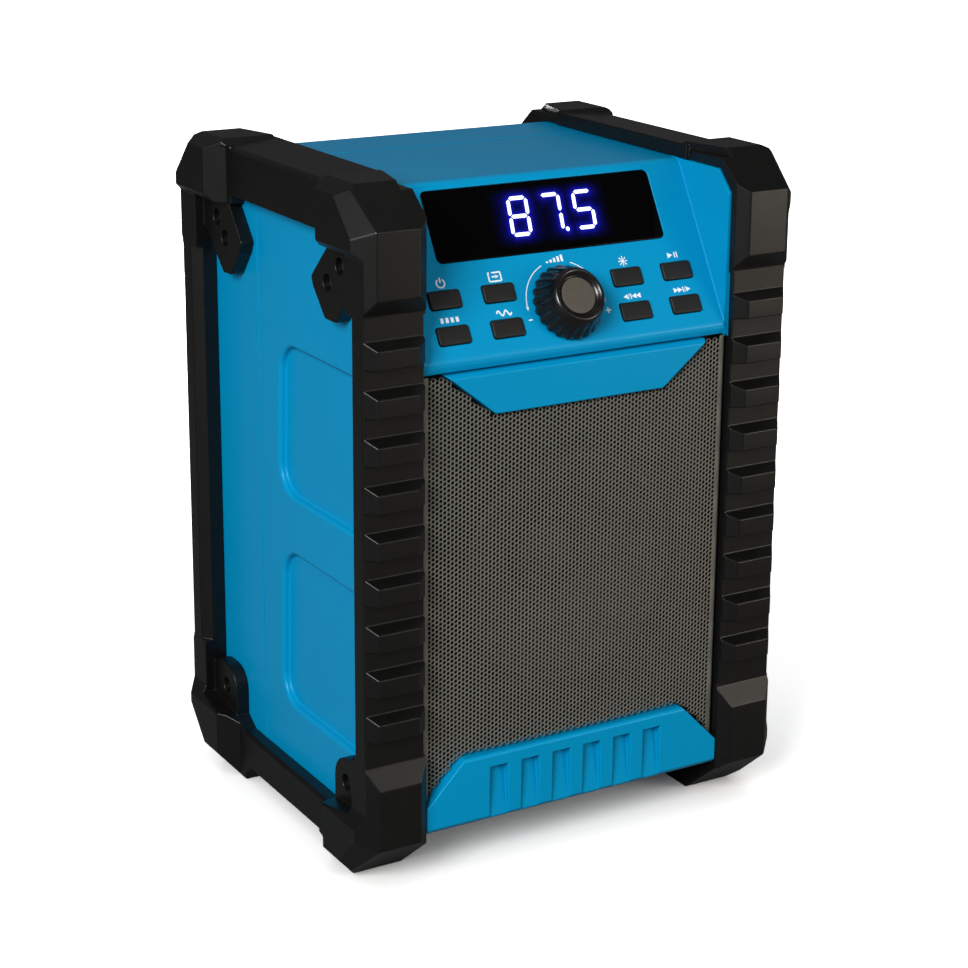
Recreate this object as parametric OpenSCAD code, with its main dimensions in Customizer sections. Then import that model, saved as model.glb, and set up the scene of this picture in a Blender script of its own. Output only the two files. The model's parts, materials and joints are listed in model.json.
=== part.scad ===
// Jobsite radio: two blue housing shells inside a pair of ribbed side frames.
// Z = 0 is the ground, Y = 0 the middle of the depth, X = 0 the plane of symmetry.
// Most pieces are drawn in front coordinates: y is the distance behind the frames' front face.

/* [Frames] */
// Depth of the side frames, front to back
cage_d = 225; // [221:1:236]
// Height of the corner guards above the ground
cage_h = 364; // [356:1:374]
// How far a leg stands out past the housings
leg_proud = 13.5; // [12:0.5:20]
// How far the corner guards stand out past the legs
guard_bulge = 4.6; // [2:0.2:6]
// How far a leg reaches in over the housings' front
leg_cover = 20; // [18:0.5:21]
// Number of ribs on a leg
rib_count = 9; // [4:1:9]
// Distance from rib to rib
rib_pitch = 24; // [20:0.5:25]
// Depth of the valleys between the ribs
rib_depth = 6; // [2:0.5:6.5]
// Height of a rib's upright face
rib_face = 9.7; // [6:0.1:14]
// Height of the highest rib's upper edge
rib_top_z = 287; // [284:1:290]
// Thickness of the brackets on the body's sides
bracket_t = 7.5; // [5:0.5:8]
// Diameter of the bracket screws' heads
screw_head_d = 8; // [6:0.5:9]

/* [Body] */
// Half width of the housings
body_out = 112; // [110:0.5:113]
// Wall thickness of the housings
wall = 3; // [2:0.25:4]
// Gap from a housing to the frames round it
frame_gap = 0.4; // [0.2:0.1:0.8]
// Height of the housings' underside above the ground
body_low = 22; // [20:1:26]
// Height of the top at its back edge
top_back_z = 355; // [353:0.2:356]
// Height of the top at the fascia's upper edge
top_front_z = 354.4; // [352:0.2:355]
// Distance of the parting line behind the frames' front face
seam_y = 151; // [140:1:156]
// Depth of the housing's front edge behind the frames' front face
shell_front = 10; // [9.8:0.1:10.6]
// Depth of the panels pressed into the housings' sides
side_dish = 4; // [1:0.5:6]

/* [Fascia] */
// Lean of the fascia from the upright
fascia_tilt = 30; // [27:0.5:32]
// Height of the fascia's lower lip
lip_z = 273; // [270:0.5:275]
// Width of a cheek beside the fascia
cheek_w = 22; // [21:0.5:24]
// Width of the display window
window_w = 136; // [110:1:140]
// Height of the display window
window_h = 38; // [28:1:39]
// Length of a button
button_w = 18; // [12:0.5:20]
// Height of a button
button_h = 9.4; // [7:0.2:11]
// How far a button stands out of the fascia
button_proud = 1.3; // [1.2:0.1:3]
// Travel of a button
button_travel = 0.8; // [0.4:0.1:1]
// Running gap round a button
button_gap = 0.25; // [0.2:0.05:0.4]
// Diameter of the knob's skirt
knob_d = 40; // [30:0.5:42]
// Height of the knob
knob_h = 15.4; // [12:0.2:15.6]
// Number of flutes round the knob's skirt
knob_flutes = 22; // [12:1:30]
// Diameter of the knob's shaft
shaft_d = 6; // [5:0.5:8]

/* [Grille] */
// Thickness of the grille's sheet
grille_t = 1.2; // [0.8:0.1:2]
// How far the middle of the grille stands ahead of its edges
grille_bow = 2.4; // [1:0.2:4]
// Distance between the grille's rows of openings
mesh_pitch = 12; // [11:0.5:16]
// Diameter of the grille's openings
mesh_d = 8; // [5:0.5:9]

/* [Speaker] */
// Outer diameter of the speaker's frame
speaker_d = 150; // [130:1:160]
// Height of the speaker's axis
speaker_z = 152; // [145:1:158]
// Travel of the cone each way
cone_travel = 2; // [1:0.5:3]

/* [Back] */
// Width of the battery door
door_w = 150; // [130:1:160]
// Height of the battery door
door_h = 128; // [110:1:132]
// Height of the battery door's lower edge
door_z = 44; // [42:1:48]
// Thickness of the battery door
door_t = 3.5; // [3:0.25:4.5]
// Depth of the battery tray
tray_d = 62; // [50:1:66]
// Diameter of the antenna's thickest tube
mast_d = 7; // [5:0.25:8]
// Length of the antenna's thickest tube
mast_len = 118; // [100:1:125]
// Distance of the antenna from the housings' side
mast_inset = 42; // [36:1:48]
// Height of the antenna's base above the battery door
antenna_rise = 6; // [4:1:10]

/* [Hidden] */
$fn = 64;

blue = "#0087b9";
black = "#232323";
big = 600;

// Derived places of the housings, as distances behind the frames' front face
back_y = cage_d - shell_front;
lip_y = shell_front - 0.7;
baffle_y = 16;
roof_back_y = back_y - 21;
bend_y = lip_y + (top_front_z - lip_z) * tan(fascia_tilt);
leg_out = body_out + leg_proud;
leg_in = body_out - leg_cover;
fascia_out = body_out - cheek_w;
cavity_out = body_out - side_dish - wall;
frame_in = body_out + frame_gap;
bracket_out = frame_in + bracket_t;
bar_out = bracket_out + 0.6;
guard_out = leg_out + guard_bulge;
boss_x = body_out - 26;
boss_zs = [33, 200, 332];

// Height of the housings' top at a depth y, and depth of the fascia at a height z
function roof_z(y) = top_front_z + (y - bend_y) * (top_back_z - top_front_z) / (roof_back_y - bend_y);
function fascia_y(z) = lip_y + (z - lip_z) * tan(fascia_tilt);

// A corner p between a and b, rounded by an arc of radius p[2]
function unit(v) = v / norm(v);
function flat(p) = [p[0], p[1]];
function corner_arc(a, p, b, n) = let(
    u = unit(flat(a) - flat(p)),
    v = unit(flat(b) - flat(p)),
    half = acos(u * v) / 2,
    centre = flat(p) + unit(u + v) * p[2] / sin(half),
    from = flat(p) + u * p[2] / tan(half) - centre,
    to = flat(p) + v * p[2] / tan(half) - centre,
    sweep = 180 - 2 * half)
    [for (i = [0:n]) centre + (from * sin(sweep * (1 - i / n)) + to * sin(sweep * i / n)) / sin(sweep)];
function rounded(p, n = 5) = [for (i = [0:len(p) - 1])
    each p[i][2] == undef ? [p[i]]
        : corner_arc(p[(i + len(p) - 1) % len(p)], p[i], p[(i + 1) % len(p)], n)];
function plate(w, h, r) = rounded([[-w / 2, -h / 2, r], [w / 2, -h / 2, r], [w / 2, h / 2, r],
    [-w / 2, h / 2, r]]);

// A profile in (y, z) across X, one in (x, z) between two depths, and one in (x, y) between two heights
module along_x(from, to) translate([from, 0, 0]) rotate([90, 0, 90]) linear_extrude(to - from) children();
module along_y(from, to) translate([0, to, 0]) rotate([90, 0, 0]) linear_extrude(to - from) children();
module along_z(from, to) translate([0, 0, from]) linear_extrude(to - from) children();
module at_front() translate([0, -cage_d / 2, 0]) children();
module both_sides() {
    children();
    mirror([1, 0, 0]) children();
}
module both_ends() {
    children();
    translate([0, cage_d, 0]) mirror([0, 1, 0]) children();
}
// A rod along X, along Y
module rod_x(r, from, to, y, z) translate([from, y, z]) rotate([0, 90, 0]) cylinder(r = r, h = to - from);
module rod_y(r, from, to, x, z) translate([x, from, z]) rotate([-90, 0, 0]) cylinder(r = r, h = to - from);
// Local axes on the fascia: x to the right, y up the slope, z out of it, from the middle of the lip
module on_fascia(x = 0, up = 0) at_front() translate([0, lip_y, lip_z])
    rotate([90 - fascia_tilt, 0, 0]) translate([x, up, 0]) children();

/* ---- Side frames ---- */
// Outline of the housings in (y, z), grown by a gap
function shell_outline(gap) = [
    [shell_front - gap, body_low - gap, 5], [shell_front - gap, 343 + gap / 2, 1.5],
    [20.5 - gap / 2, roof_z(20.5) + gap, 1.5], [roof_back_y, top_back_z + gap, 8],
    [back_y + gap, 334, 12], [back_y + gap, body_low - gap, 5]];
guard_low = cage_h - 53;
foot_bevel = 70;
rib_slope = 3.6;
// Side view of a leg: a comb of ribs with sloping tops and undercut feet
leg_side = concat([[40, guard_low - 8]], [[rib_depth, guard_low - 8]],
    [for (k = [0:rib_count - 1]) let(z = rib_top_z - k * rib_pitch) each [
        [rib_depth, z + rib_slope], [0, z], [0, z - rib_face], [rib_depth, z - rib_face - 0.3]]],
    [[rib_depth, foot_bevel], [40, foot_bevel]]);
front_out = leg_out - 5;
front_in = leg_in + 5.8;
leg_plan = [[leg_in, 22], [leg_in, 4.6], [front_in, 0], [front_out, 0], [leg_out, 7], [leg_out, 17],
    [bar_out, 22]];
module leg() intersection() {
    along_z(foot_bevel, guard_low - 8) polygon(leg_plan);
    along_x(leg_in - 1, leg_out + 1) polygon(leg_side);
}
// Corner guards: a block bevelled in plan, in side view and in front view
bevel = guard_out - front_out;
top_guard_side = [[60, 330], [60, cage_h - 3], [56, cage_h - 3], [52, cage_h], [23.6, cage_h],
    [0, cage_h - 19.4], [0, guard_low], [rib_depth, guard_low - 8], [rib_depth, guard_low - 10],
    [24, guard_low - 10], [24, 330]];
foot_side = [[rib_depth, foot_bevel + 1], [rib_depth, foot_bevel], [0, foot_bevel - 11], [0, 26], [32, 0],
    [62, 0], [66, 7], [70, 8], [70, 24], [50, 36], [22, 40], [22, foot_bevel + 1]];
guard_plan = [[leg_in - 1, 72], [leg_in - 1, 5], [front_in - 1, 0], [front_out, 0], [guard_out, bevel],
    [guard_out, 46], [bar_out, 56], [bar_out, 72]];
// A slanting facet on the outer corner where the guard's bevels meet
facet = [0.72, -0.5, 0.48];
module corner_facet(x, z) translate([x, 0, z]) rotate([0, -asin(facet[2] / norm(facet)),
    atan2(facet[1], facet[0])])
    translate([0, -100, -100]) cube([100, 200, 200]);
// The inner edge of a guard's top runs outwards to its front
inner_taper = [[leg_in - 2, 53], [leg_in + 5.4, 23], [leg_in + 5.4, -1], [leg_in - 2, -1]];
module top_guard() difference() {
    intersection() {
        along_x(leg_in - 5, guard_out) polygon(top_guard_side);
        along_z(guard_low - 10, cage_h) polygon(guard_plan);
        along_y(0, 72) polygon([[leg_in - 5, guard_low - 10], [leg_in - 5, cage_h],
            [front_out - 0.5, cage_h],
            [guard_out, cage_h - 5], [guard_out, cage_h - 30], [leg_out, cage_h - 34],
                [leg_out, guard_low - 10]]);
    }
    along_z(cage_h - 4, cage_h + 1) polygon(inner_taper);
}
module foot_guard() intersection() {
    along_x(leg_in - 5, guard_out) polygon(foot_side);
    along_z(0, foot_bevel + 1) polygon(guard_plan);
    along_y(0, 72) polygon([[leg_in - 1, 0], [front_out - 1, 0], [guard_out, 12], [guard_out, 36],
        [leg_out, 44], [leg_out, foot_bevel + 1], [leg_in - 1, foot_bevel + 1]]);
}
// Bars over and under the housings
bar_in = body_out - 22.6;
bar_start = 48;
module bars() {
    along_y(bar_start, cage_d - bar_start) polygon([[bar_in, 340], [bar_in, cage_h - 1.2],
        [bar_out - 2, cage_h - 3.2], [bar_out, cage_h - 5], [bar_out, 335], [body_out - 3, 335], [body_out - 3, 340]]);
    along_y(30, cage_d - 30) polygon([[leg_in, 8], [bar_out - 4, 6], [bar_out, 10], [bar_out, 28],
        [bar_out - 1.5, 29.5], [body_out - 3, 29.5], [body_out - 3, 28], [leg_in, 28]]);
}
// Brackets on the housings' sides, as outlines in (y, z), and their screws
arm_front = [[14, 345], [44.5, 345], [47, 335], [72, 310], [69.5, 305], [57, 291.3], [45, 291.3], [14, 325]];
arm_back = [[14, 345], [48, 345], [54.5, 331], [71, 311], [68, 305], [57, 291.5], [47.5, 291], [14, 322]];
tab_y = 38.5;
tab_z = 49;
tab_r = 13;
screw_places = [[40.7, 320.7], [54.2, 310], [cage_d - 40, 320], [cage_d - 50, 310.2],
    [tab_y, tab_z], [cage_d - tab_y, tab_z]];
module brackets() {
    along_x(frame_in, bracket_out) polygon(rounded([for (p = arm_front) [p[0], p[1], 2.5]], 3));
    translate([0, cage_d, 0]) mirror([0, 1, 0]) along_x(frame_in, bracket_out)
        polygon(rounded([for (p = arm_back) [p[0], p[1], 2.5]], 3));
    both_ends() along_x(frame_in, bracket_out)
        polygon(rounded([[20, 24], [tab_y + tab_r, 24], [tab_y + tab_r, tab_z + tab_r, tab_r - 0.1],
            [tab_y - tab_r, tab_z + tab_r, tab_r - 0.1], [16, 52]]));
}
module side_frame() color(black) at_front() difference() {
    union() {
        both_ends() leg();
        both_ends() difference() {
            top_guard();
            corner_facet(front_out, cage_h - 19.4);
        }
        both_ends() difference() {
            foot_guard();
            translate([0, 0, 26]) mirror([0, 0, 1]) corner_facet(front_out, 0);
        }
        bars();
        brackets();
    }
    along_x(0, frame_in) polygon(rounded(shell_outline(frame_gap)));
    for (p = screw_places) {
        rod_x(screw_head_d / 2 + 0.4, frame_in + 1.5, guard_out, p[0], p[1]);
        rod_x(2.1, frame_in - 1, guard_out, p[0], p[1]);
    }
}
module side_frame_right() side_frame();
module side_frame_left() mirror([1, 0, 0]) side_frame();
module frame_screws() color("#1a1a1a") both_sides() at_front() for (p = screw_places) difference() {
    union() {
        rod_x(screw_head_d / 2, frame_in + 1.5, frame_in + 4.2, p[0], p[1]);
        rod_x(1.8, body_out - 5, frame_in + 1.6, p[0], p[1]);
    }
    translate([frame_in + 3, p[0] - 0.5, p[1] - 2.2]) cube([2, 1, 4.4]);
    translate([frame_in + 3, p[0] - 2.2, p[1] - 0.5]) cube([2, 4.4, 1]);
}

/* ---- Housings ---- */
// The housings' solid shape without the fascia's recess, and the fascia's middle part
middle_outline = [[seam_y + 1, body_low], [seam_y + 1, roof_z(seam_y + 1)], [bend_y, top_front_z, 6],
    [lip_y, lip_z, 6], [lip_y + 1.8, lip_z - 4.6, 0.8], [baffle_y, lip_z - 5], [baffle_y, body_low]];
ledge_up = 6.5;
ledge_z = lip_z + ledge_up * cos(fascia_tilt) - wall * sin(fascia_tilt);
front_cavity = [[seam_y + 2, body_low + wall], [seam_y + 2, roof_z(seam_y) - wall],
    [fascia_y(top_front_z - wall) + wall / cos(fascia_tilt), top_front_z - wall],
    [lip_y + ledge_up * sin(fascia_tilt) + wall * cos(fascia_tilt), ledge_z],
    [baffle_y + wall, ledge_z], [baffle_y + wall, body_low + wall]];
rear_cavity = [[seam_y - 2, body_low + wall], [seam_y - 2, roof_z(seam_y) - wall],
    [roof_back_y - 2, top_back_z - wall, 6], [back_y - wall, 332, 10], [back_y - wall, body_low + wall]];
// Panels pressed into the sides, as outlines in (y, z)
module side_dishes() for (z = [[181, 263], [61, 149]])
    along_x(body_out - side_dish, body_out + 1)
        polygon(rounded([[5, z[0]], [129, z[0], 16], [125, z[1], 16], [5, z[1]]]));
// A shallow line round the parting of the two housings
module parting_line() difference() {
    translate([-big / 2, seam_y - 0.6, 0]) cube([big, 1.2, big]);
    translate([-body_out + 0.7, seam_y - 2, body_low + 0.7])
        cube([2 * body_out - 1.4, 4, roof_z(seam_y) - body_low - 1.4]);
}
module seal_ring(width, from, to) along_y(from, to) difference() {
    polygon(plate_at(body_out - 3, body_low + 1, roof_z(seam_y) - 1, 3));
    polygon(plate_at(body_out - 3 - width, body_low + 1 + width, roof_z(seam_y) - 1 - width, 2.5));
}
function plate_at(half, low, high, r) = rounded([[-half, low, r], [half, low, r], [half, high, r],
    [-half, high, r]], 3);
module shell_screw_bosses(from, to) for (z = boss_zs, s = [-1, 1]) rod_y(5, from, to, s * boss_x, z);

button_out = fascia_out - 20.5;
button_mid = fascia_out - 51.6;
button_cols = [-button_out, -button_mid, button_mid, button_out];
button_rows = [32.8, 14.3];
knob_up = 23;
knob_x = -1.6;
window_up = 51.4 + window_h / 2;
board_at = 10;
board_boss_x = fascia_out - 6;
board_bosses = [[-board_boss_x, 13], [board_boss_x, 13], [-board_boss_x, 83], [board_boss_x, 83]];
module front_housing() color(blue) difference() {
    union() {
        at_front() difference() {
            union() {
                along_x(-fascia_out - 0.5, fascia_out + 0.5) polygon(rounded(middle_outline));
                both_sides() along_x(fascia_out, body_out) polygon(rounded(shell_outline(0)));
            }
            both_sides() translate([fascia_out - 1, -1, 0])
                cube([leg_in + 1.2 - fascia_out, baffle_y + 1, lip_z - 5]);
            along_x(-cavity_out, cavity_out) polygon(front_cavity);
            translate([-big / 2, seam_y, 0]) cube([big, big, big]);
        }
        at_front() shell_screw_bosses(seam_y - 22, seam_y);
        at_front() for (z = boss_zs, s = [-1, 1])
            translate([s > 0 ? boss_x : -cavity_out - 0.5, seam_y - 22, z - 2])
                cube([cavity_out + 0.5 - boss_x, 22, 4]);
        for (p = board_bosses) on_fascia(p[0], p[1]) translate([0, 0, -board_at])
            cylinder(r = 3, h = board_at - 1);
    }
    at_front() both_sides() side_dishes();
    at_front() parting_line();
    at_front() for (z = boss_zs, s = [-1, 1]) rod_y(1.8, seam_y - 18, seam_y + 1, s * boss_x, z);
    at_front() rod_y(speaker_d / 2 - 9, 0, baffle_y + wall + 2, 0, speaker_z);
    at_front() both_sides() for (p = screw_places) if (p[0] < seam_y)
        rod_x(1.85, body_out - 6, body_out + 1, p[0], p[1]);
    // Window seat and its opening, button openings and the hole for the encoder's bush
    on_fascia(0, window_up) translate([0, 0, -1.8]) linear_extrude(5)
        polygon(plate(window_w + 0.4, window_h + 0.4, 3.2));
    on_fascia(0, window_up) translate([0, 0, -8])
        linear_extrude(8) square([window_w - 12, window_h - 8], center = true);
    for (x = button_cols, up = button_rows) on_fascia(x, up) translate([0, 0, -8]) linear_extrude(12)
        polygon(plate(button_w + 2 * button_gap, button_h + 2 * button_gap, 1.6));
    on_fascia(knob_x, knob_up) translate([0, 0, -8]) cylinder(r = 4.6, h = 12);
}
door_top = door_z + door_h;
hinge_y = back_y + 3.4;
hinge_z = door_z - 1;
knuckle_r = 3;
hinge_pin_r = 1.25;
cover_w = 62;
cover_h = 34;
cover_x = -38;
cover_top = 252;
cover_hinge = [back_y + 2.8, cover_top + 1];
// Hinge knuckles: the housing's pair at each end, the door's between them
knuckle_xs = [[36, 42.8], [60.2, 67]];
door_knuckle = [43, 60];
module rear_housing() color(blue) at_front() difference() {
    union() {
        difference() {
            along_x(-body_out, body_out) polygon(rounded(shell_outline(0)));
            along_x(-cavity_out, cavity_out) polygon(rounded(rear_cavity));
            translate([-big / 2, seam_y - big, 0]) cube([big, big, big]);
        }
        shell_screw_bosses(seam_y, back_y - 1);
        for (z = boss_zs, s = [-1, 1])
            translate([s > 0 ? boss_x : -cavity_out - 0.5, seam_y, z - 2])
                cube([cavity_out + 0.5 - boss_x, back_y - 1 - seam_y, 4]);
        both_sides() for (k = knuckle_xs) along_x(k[0], k[1])
            polygon([[back_y - 1, hinge_z - 2], [hinge_y, hinge_z - 2], [hinge_y, hinge_z + 2],
                [back_y - 1, hinge_z + 2]]);
        both_sides() for (k = knuckle_xs) rod_x(knuckle_r, k[0], k[1], hinge_y, hinge_z);
        // Lugs of the socket cover's hinge
        for (s = [-1, 1])
            along_x(cover_x + s * (cover_w / 2 - 8) - 2.2, cover_x + s * (cover_w / 2 - 8) + 2.2)
            polygon(rounded([[back_y - 1, cover_hinge[1] - 2.4],
                [cover_hinge[0] + 2, cover_hinge[1] - 2.4, 1.8],
                [cover_hinge[0] + 2, cover_hinge[1] + 2.4, 1.8], [back_y - 1, cover_hinge[1] + 2.4]], 3));
        // Catch bead over the battery door
        along_x(-9, 9) polygon([[back_y - 1, door_top + 3], [back_y + 1.4, door_top + 4],
            [back_y + 1.4, door_top + 5], [back_y - 1, door_top + 6]]);
    }
    both_sides() side_dishes();
    parting_line();
    seal_ring(1.2, seam_y - 1, seam_y + 1.2);
    for (z = boss_zs, s = [-1, 1]) {
        rod_y(1.8, seam_y - 1, back_y, s * boss_x, z);
        rod_y(3.9, seam_y + 11, back_y + 1, s * boss_x, z);
    }
    both_sides() for (p = screw_places) if (p[0] > seam_y)
        rod_x(1.85, body_out - 6, body_out + 1, p[0], p[1]);
    both_sides() for (k = knuckle_xs) rod_x(hinge_pin_r + 0.05, k[0] - 1, k[1] + 1, hinge_y, hinge_z);
    rod_x(1.3, cover_x - cover_w / 2, cover_x + cover_w / 2, cover_hinge[0], cover_hinge[1]);
    // Openings for the battery door and the sockets
    along_y(back_y - wall - 2, back_y + 1)
        polygon(plate_at(door_w / 2 + 0.4, door_z + 2.6, door_top + 0.4, 6.4));
    along_y(back_y - wall - 2, back_y + 1) translate([cover_x, cover_top - cover_h / 2 - 2])
        polygon(plate(50, 22, 3));
}
module housing_seal() color("#303030") at_front() seal_ring(1, seam_y, seam_y + 1.1);
module housing_screws() color("#8d9297") at_front() for (z = boss_zs, s = [-1, 1]) difference() {
    union() {
        rod_y(3.5, seam_y + 11, seam_y + 14, s * boss_x, z);
        rod_y(1.6, seam_y - 14, seam_y + 12, s * boss_x, z);
    }
    translate([s * boss_x - 0.5, seam_y + 12.8, z - 2]) cube([1, 2, 4]);
    translate([s * boss_x - 2, seam_y + 12.8, z - 0.5]) cube([4, 2, 1]);
}

/* ---- Front panels and grille ---- */
// The chin hangs over the grille's upper edge, the vent panel stands over its lower edge
chin_top = lip_z - 5.6;
chin_low = 245;
vent_low = 25.6;
panel_gap = 0.4;
chin_wide = fascia_out - 11.8;
chin_narrow = fascia_out - 39.7;
function chin_outline(gap) = let(top = chin_wide + 2.85 * gap, low = chin_narrow + 0.35 * gap)
    [[-top, chin_top + gap], [-low, chin_low - gap], [low, chin_low - gap], [top, chin_top + gap]];
vent_top_half = fascia_out - 21.8;
function vent_outline(gap) = let(half = leg_in - 1.4)
    [[-half, vent_low], [-half, 40 + gap], [-vent_top_half, 63 + gap], [vent_top_half, 63 + gap],
        [half, 40 + gap], [half, vent_low]];
chin_y = 7;
vent_y = 5;
grille_y = 8;
module chin_panel() color(blue) at_front() intersection() {
    along_y(chin_y, baffle_y) polygon(chin_outline(0));
    along_x(-chin_wide - 1, chin_wide + 1) polygon(rounded([[baffle_y, chin_low - 1], [chin_y, chin_low - 1],
        [chin_y, chin_top - 1.5, 1.2],
        [chin_y + 3, chin_top], [baffle_y, chin_top]]));
}
slot_pitch = 19.1;
slot_w = 10.8;
slot_top = 55.6;
module vent_panel() color(blue) at_front() difference() {
    intersection() {
        along_y(vent_y, baffle_y) polygon(rounded(vent_outline(0)));
        along_x(-leg_in, leg_in) polygon(rounded([[baffle_y, vent_low], [vent_y + 2.5, vent_low],
            [vent_y, vent_low + 2.5, 2],
            [vent_y, 63, 2], [baffle_y, 63]]));
    }
    // Six wedge-shaped recesses, deepest under their upper edge
    for (i = [-2.5:2.5]) along_x(i * slot_pitch - slot_w / 2, i * slot_pitch + slot_w / 2)
        polygon([[vent_y - 1, slot_top], [vent_y + 4.5, slot_top], [vent_y + 0.8, vent_low - 1],
            [vent_y - 1, vent_low - 1]]);
}
// Plan of the grille: a shallow bow with bent edges that stand on the baffle
grille_half = leg_in - 0.5;
function bow_y(x) = grille_y + grille_bow * pow(x / grille_half, 2);
function grille_plan(inset) = rounded([[-grille_half + inset, baffle_y],
    [-grille_half + inset, bow_y(grille_half) - 0.4 + inset, 3 - inset],
    [-grille_half * 0.72, bow_y(grille_half * 0.72) + inset - 1.2, 30], [0, grille_y + inset - 1, 400],
    [grille_half * 0.72, bow_y(grille_half * 0.72) + inset - 1.2, 30],
    [grille_half - inset, bow_y(grille_half) - 0.4 + inset, 3 - inset], [grille_half - inset, baffle_y]]);
mesh_row = mesh_pitch * sqrt(3) / 2;
module grille() color("#8b8b88") at_front() difference() {
    along_z(vent_low + 15, lip_z - 5.4) difference() {
        polygon(grille_plan(0));
        polygon(concat([for (p = grille_plan(grille_t)) p[1] > baffle_y - 0.01 ? [p[0],
            baffle_y + 1] : p]));
    }
    along_y(-1, baffle_y + 1) polygon(chin_outline(panel_gap));
    along_y(-1, baffle_y + 1) polygon(vent_outline(panel_gap));
    // Staggered openings, clear of the edges and of both panels
    for (row = [-9:9], col = [-8:8]) {
        x = (col + (row % 2 == 0 ? 0 : 0.5)) * mesh_pitch;
        z = speaker_z + row * mesh_row;
        if (abs(x) < fascia_out - 12 && z < chin_low - 8 && z > 73) rod_y(mesh_d / 2, 0, baffle_y + 1, x, z);
    }
}

/* ---- Display and controls ---- */
module display_window() color("#050608") on_fascia(0, window_up)
    translate([0, 0, -1.7]) linear_extrude(1.7) polygon(plate(window_w, window_h, 3));
led_w = 98;
module led_module() color("#20242a") on_fascia(0, window_up) {
    translate([-led_w / 2, -window_h / 2 + 6, -board_at]) cube([led_w, window_h - 12, board_at - 2.1]);
}
module button(x, up) color("#2c2c2c") on_fascia(x, up) {
    translate([0, 0, -wall - 1]) linear_extrude(wall + 1 + button_proud)
        polygon(plate(button_w, button_h, 1.4));
    translate([0, 0, -wall - 1.5]) linear_extrude(1.3) square([button_w + 2, button_h + 2], center = true);
    translate([0, 0, -wall - 2.4]) cylinder(r = 2.4, h = 2);
}
module power_button() button(button_cols[0], button_rows[0]);
module source_button() button(button_cols[1], button_rows[0]);
module preset_button() button(button_cols[0], button_rows[1]);
module tune_button() button(button_cols[1], button_rows[1]);
module light_button() button(button_cols[2], button_rows[0]);
module play_button() button(button_cols[3], button_rows[0]);
module previous_button() button(button_cols[2], button_rows[1]);
module next_button() button(button_cols[3], button_rows[1]);
module tact_switches() color("#b9bcc0") for (x = button_cols, up = button_rows) on_fascia(x, up) {
    translate([-3, -3, -board_at]) cube([6, 6, 2.6]);
    translate([0, 0, -board_at]) cylinder(r = 1.7, h = board_at - wall - 2.4 - button_travel - 0.15);
}
// Knob: a cone on a fluted skirt, with a raised ring round a sunk cap
cap_r = 9.6;
cap_z = knob_h - 1.8;
module volume_knob() color("#262626") on_fascia(knob_x, knob_up) difference() {
    rotate_extrude($fn = 96) polygon(rounded([[shaft_d / 2 + 0.02, 0.6], [knob_d / 2, 0.6],
        [knob_d / 2, 2.4, 0.8],
        [13.9, knob_h - 1.2, 3], [13.6, knob_h, 0.5], [11.8, knob_h, 0.5], [cap_r + 0.9, cap_z - 0.6, 1],
        [cap_r + 0.1, cap_z - 0.6], [cap_r + 0.1, cap_z - 1.5], [shaft_d / 2 + 0.02, cap_z - 1.5]]));
    for (a = [0:360 / knob_flutes:359]) rotate(a) translate([knob_d / 2 + 0.4, 0, -1])
        cylinder(r = 2.3, h = knob_h);
}
module knob_cap() color("#5a564f") on_fascia(knob_x, knob_up) translate([0, 0, cap_z - 1.5])
    cylinder(r = cap_r, h = 1.5);
module encoder_shaft() color("#c8c8c4") on_fascia(knob_x, knob_up) translate([0, 0, -wall - 2])
    cylinder(d = shaft_d, h = wall + 2 + cap_z - 1.6);
module encoder_body() color("#9aa0a4") on_fascia(knob_x, knob_up) difference() {
    union() {
        translate([-7, -7, -board_at]) cube([14, 14, board_at - wall - 0.4]);
        translate([0, 0, -board_at]) cylinder(r = 4.5, h = board_at + 0.3);
    }
    translate([0, 0, -wall - 2.1]) cylinder(r = shaft_d / 2 + 0.05, h = board_at);
}
pcb_t = 1.6;
module control_board() color("#1f5a36") on_fascia() translate([0, 0, -board_at - pcb_t]) difference() {
    translate([2 - fascia_out, 8.5, 0]) cube([2 * fascia_out - 4, 79.5, pcb_t]);
    for (p = board_bosses) translate([p[0], p[1], -1]) cylinder(r = 1.2, h = 4);
}
tray_half = door_w / 2 - 6;
tray_low = door_z + 8;
tray_top = door_top - 8;
tray_mouth = back_y - wall;
tray_wall = 2.2;
board_z = tray_top + 14;
board_front = tray_mouth - 60;
board_depth = 54;
board_half = door_w / 2 - 9;
board_posts = [for (x = [4 - board_half, board_half - 4],
    y = [board_front + 4, board_front + board_depth - 4]) [x, y]];
// Flat cable from the control board down to the main board
cable_up = 40;
cable_path = [[fascia_y(lip_z) + cable_up * sin(fascia_tilt) + (board_at + 1.9) * cos(fascia_tilt),
    lip_z + cable_up * cos(fascia_tilt) - (board_at + 1.9) * sin(fascia_tilt)],
    [86, 292], [116, 240], [140, 204], [board_front + 3, board_z + pcb_t]];
module ribbon_cable() color("#b8b4a8") at_front() along_x(-22, 8)
    polygon(concat(cable_path, [for (i = [len(cable_path) - 1:-1:0]) cable_path[i] + [0.7, 0.7]]));
module main_board() color("#1f5a36") at_front() difference() {
    translate([-board_half, board_front, board_z]) cube([2 * board_half, board_depth, pcb_t]);
    for (p = board_posts) translate([p[0], p[1], board_z - 1]) cylinder(r = 1.3, h = 4);
}
sink_w = board_half - 10;
sink_d = board_depth - 20;
module heat_sink() color("#9da1a6") at_front() {
    translate([-4, board_front + 10, board_z + pcb_t]) cube([sink_w, sink_d, 4]);
    for (i = [0:7]) translate([-4 + i * (sink_w - 2) / 7, board_front + 10, board_z + pcb_t])
        cube([2, sink_d, 24]);
}

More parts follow.
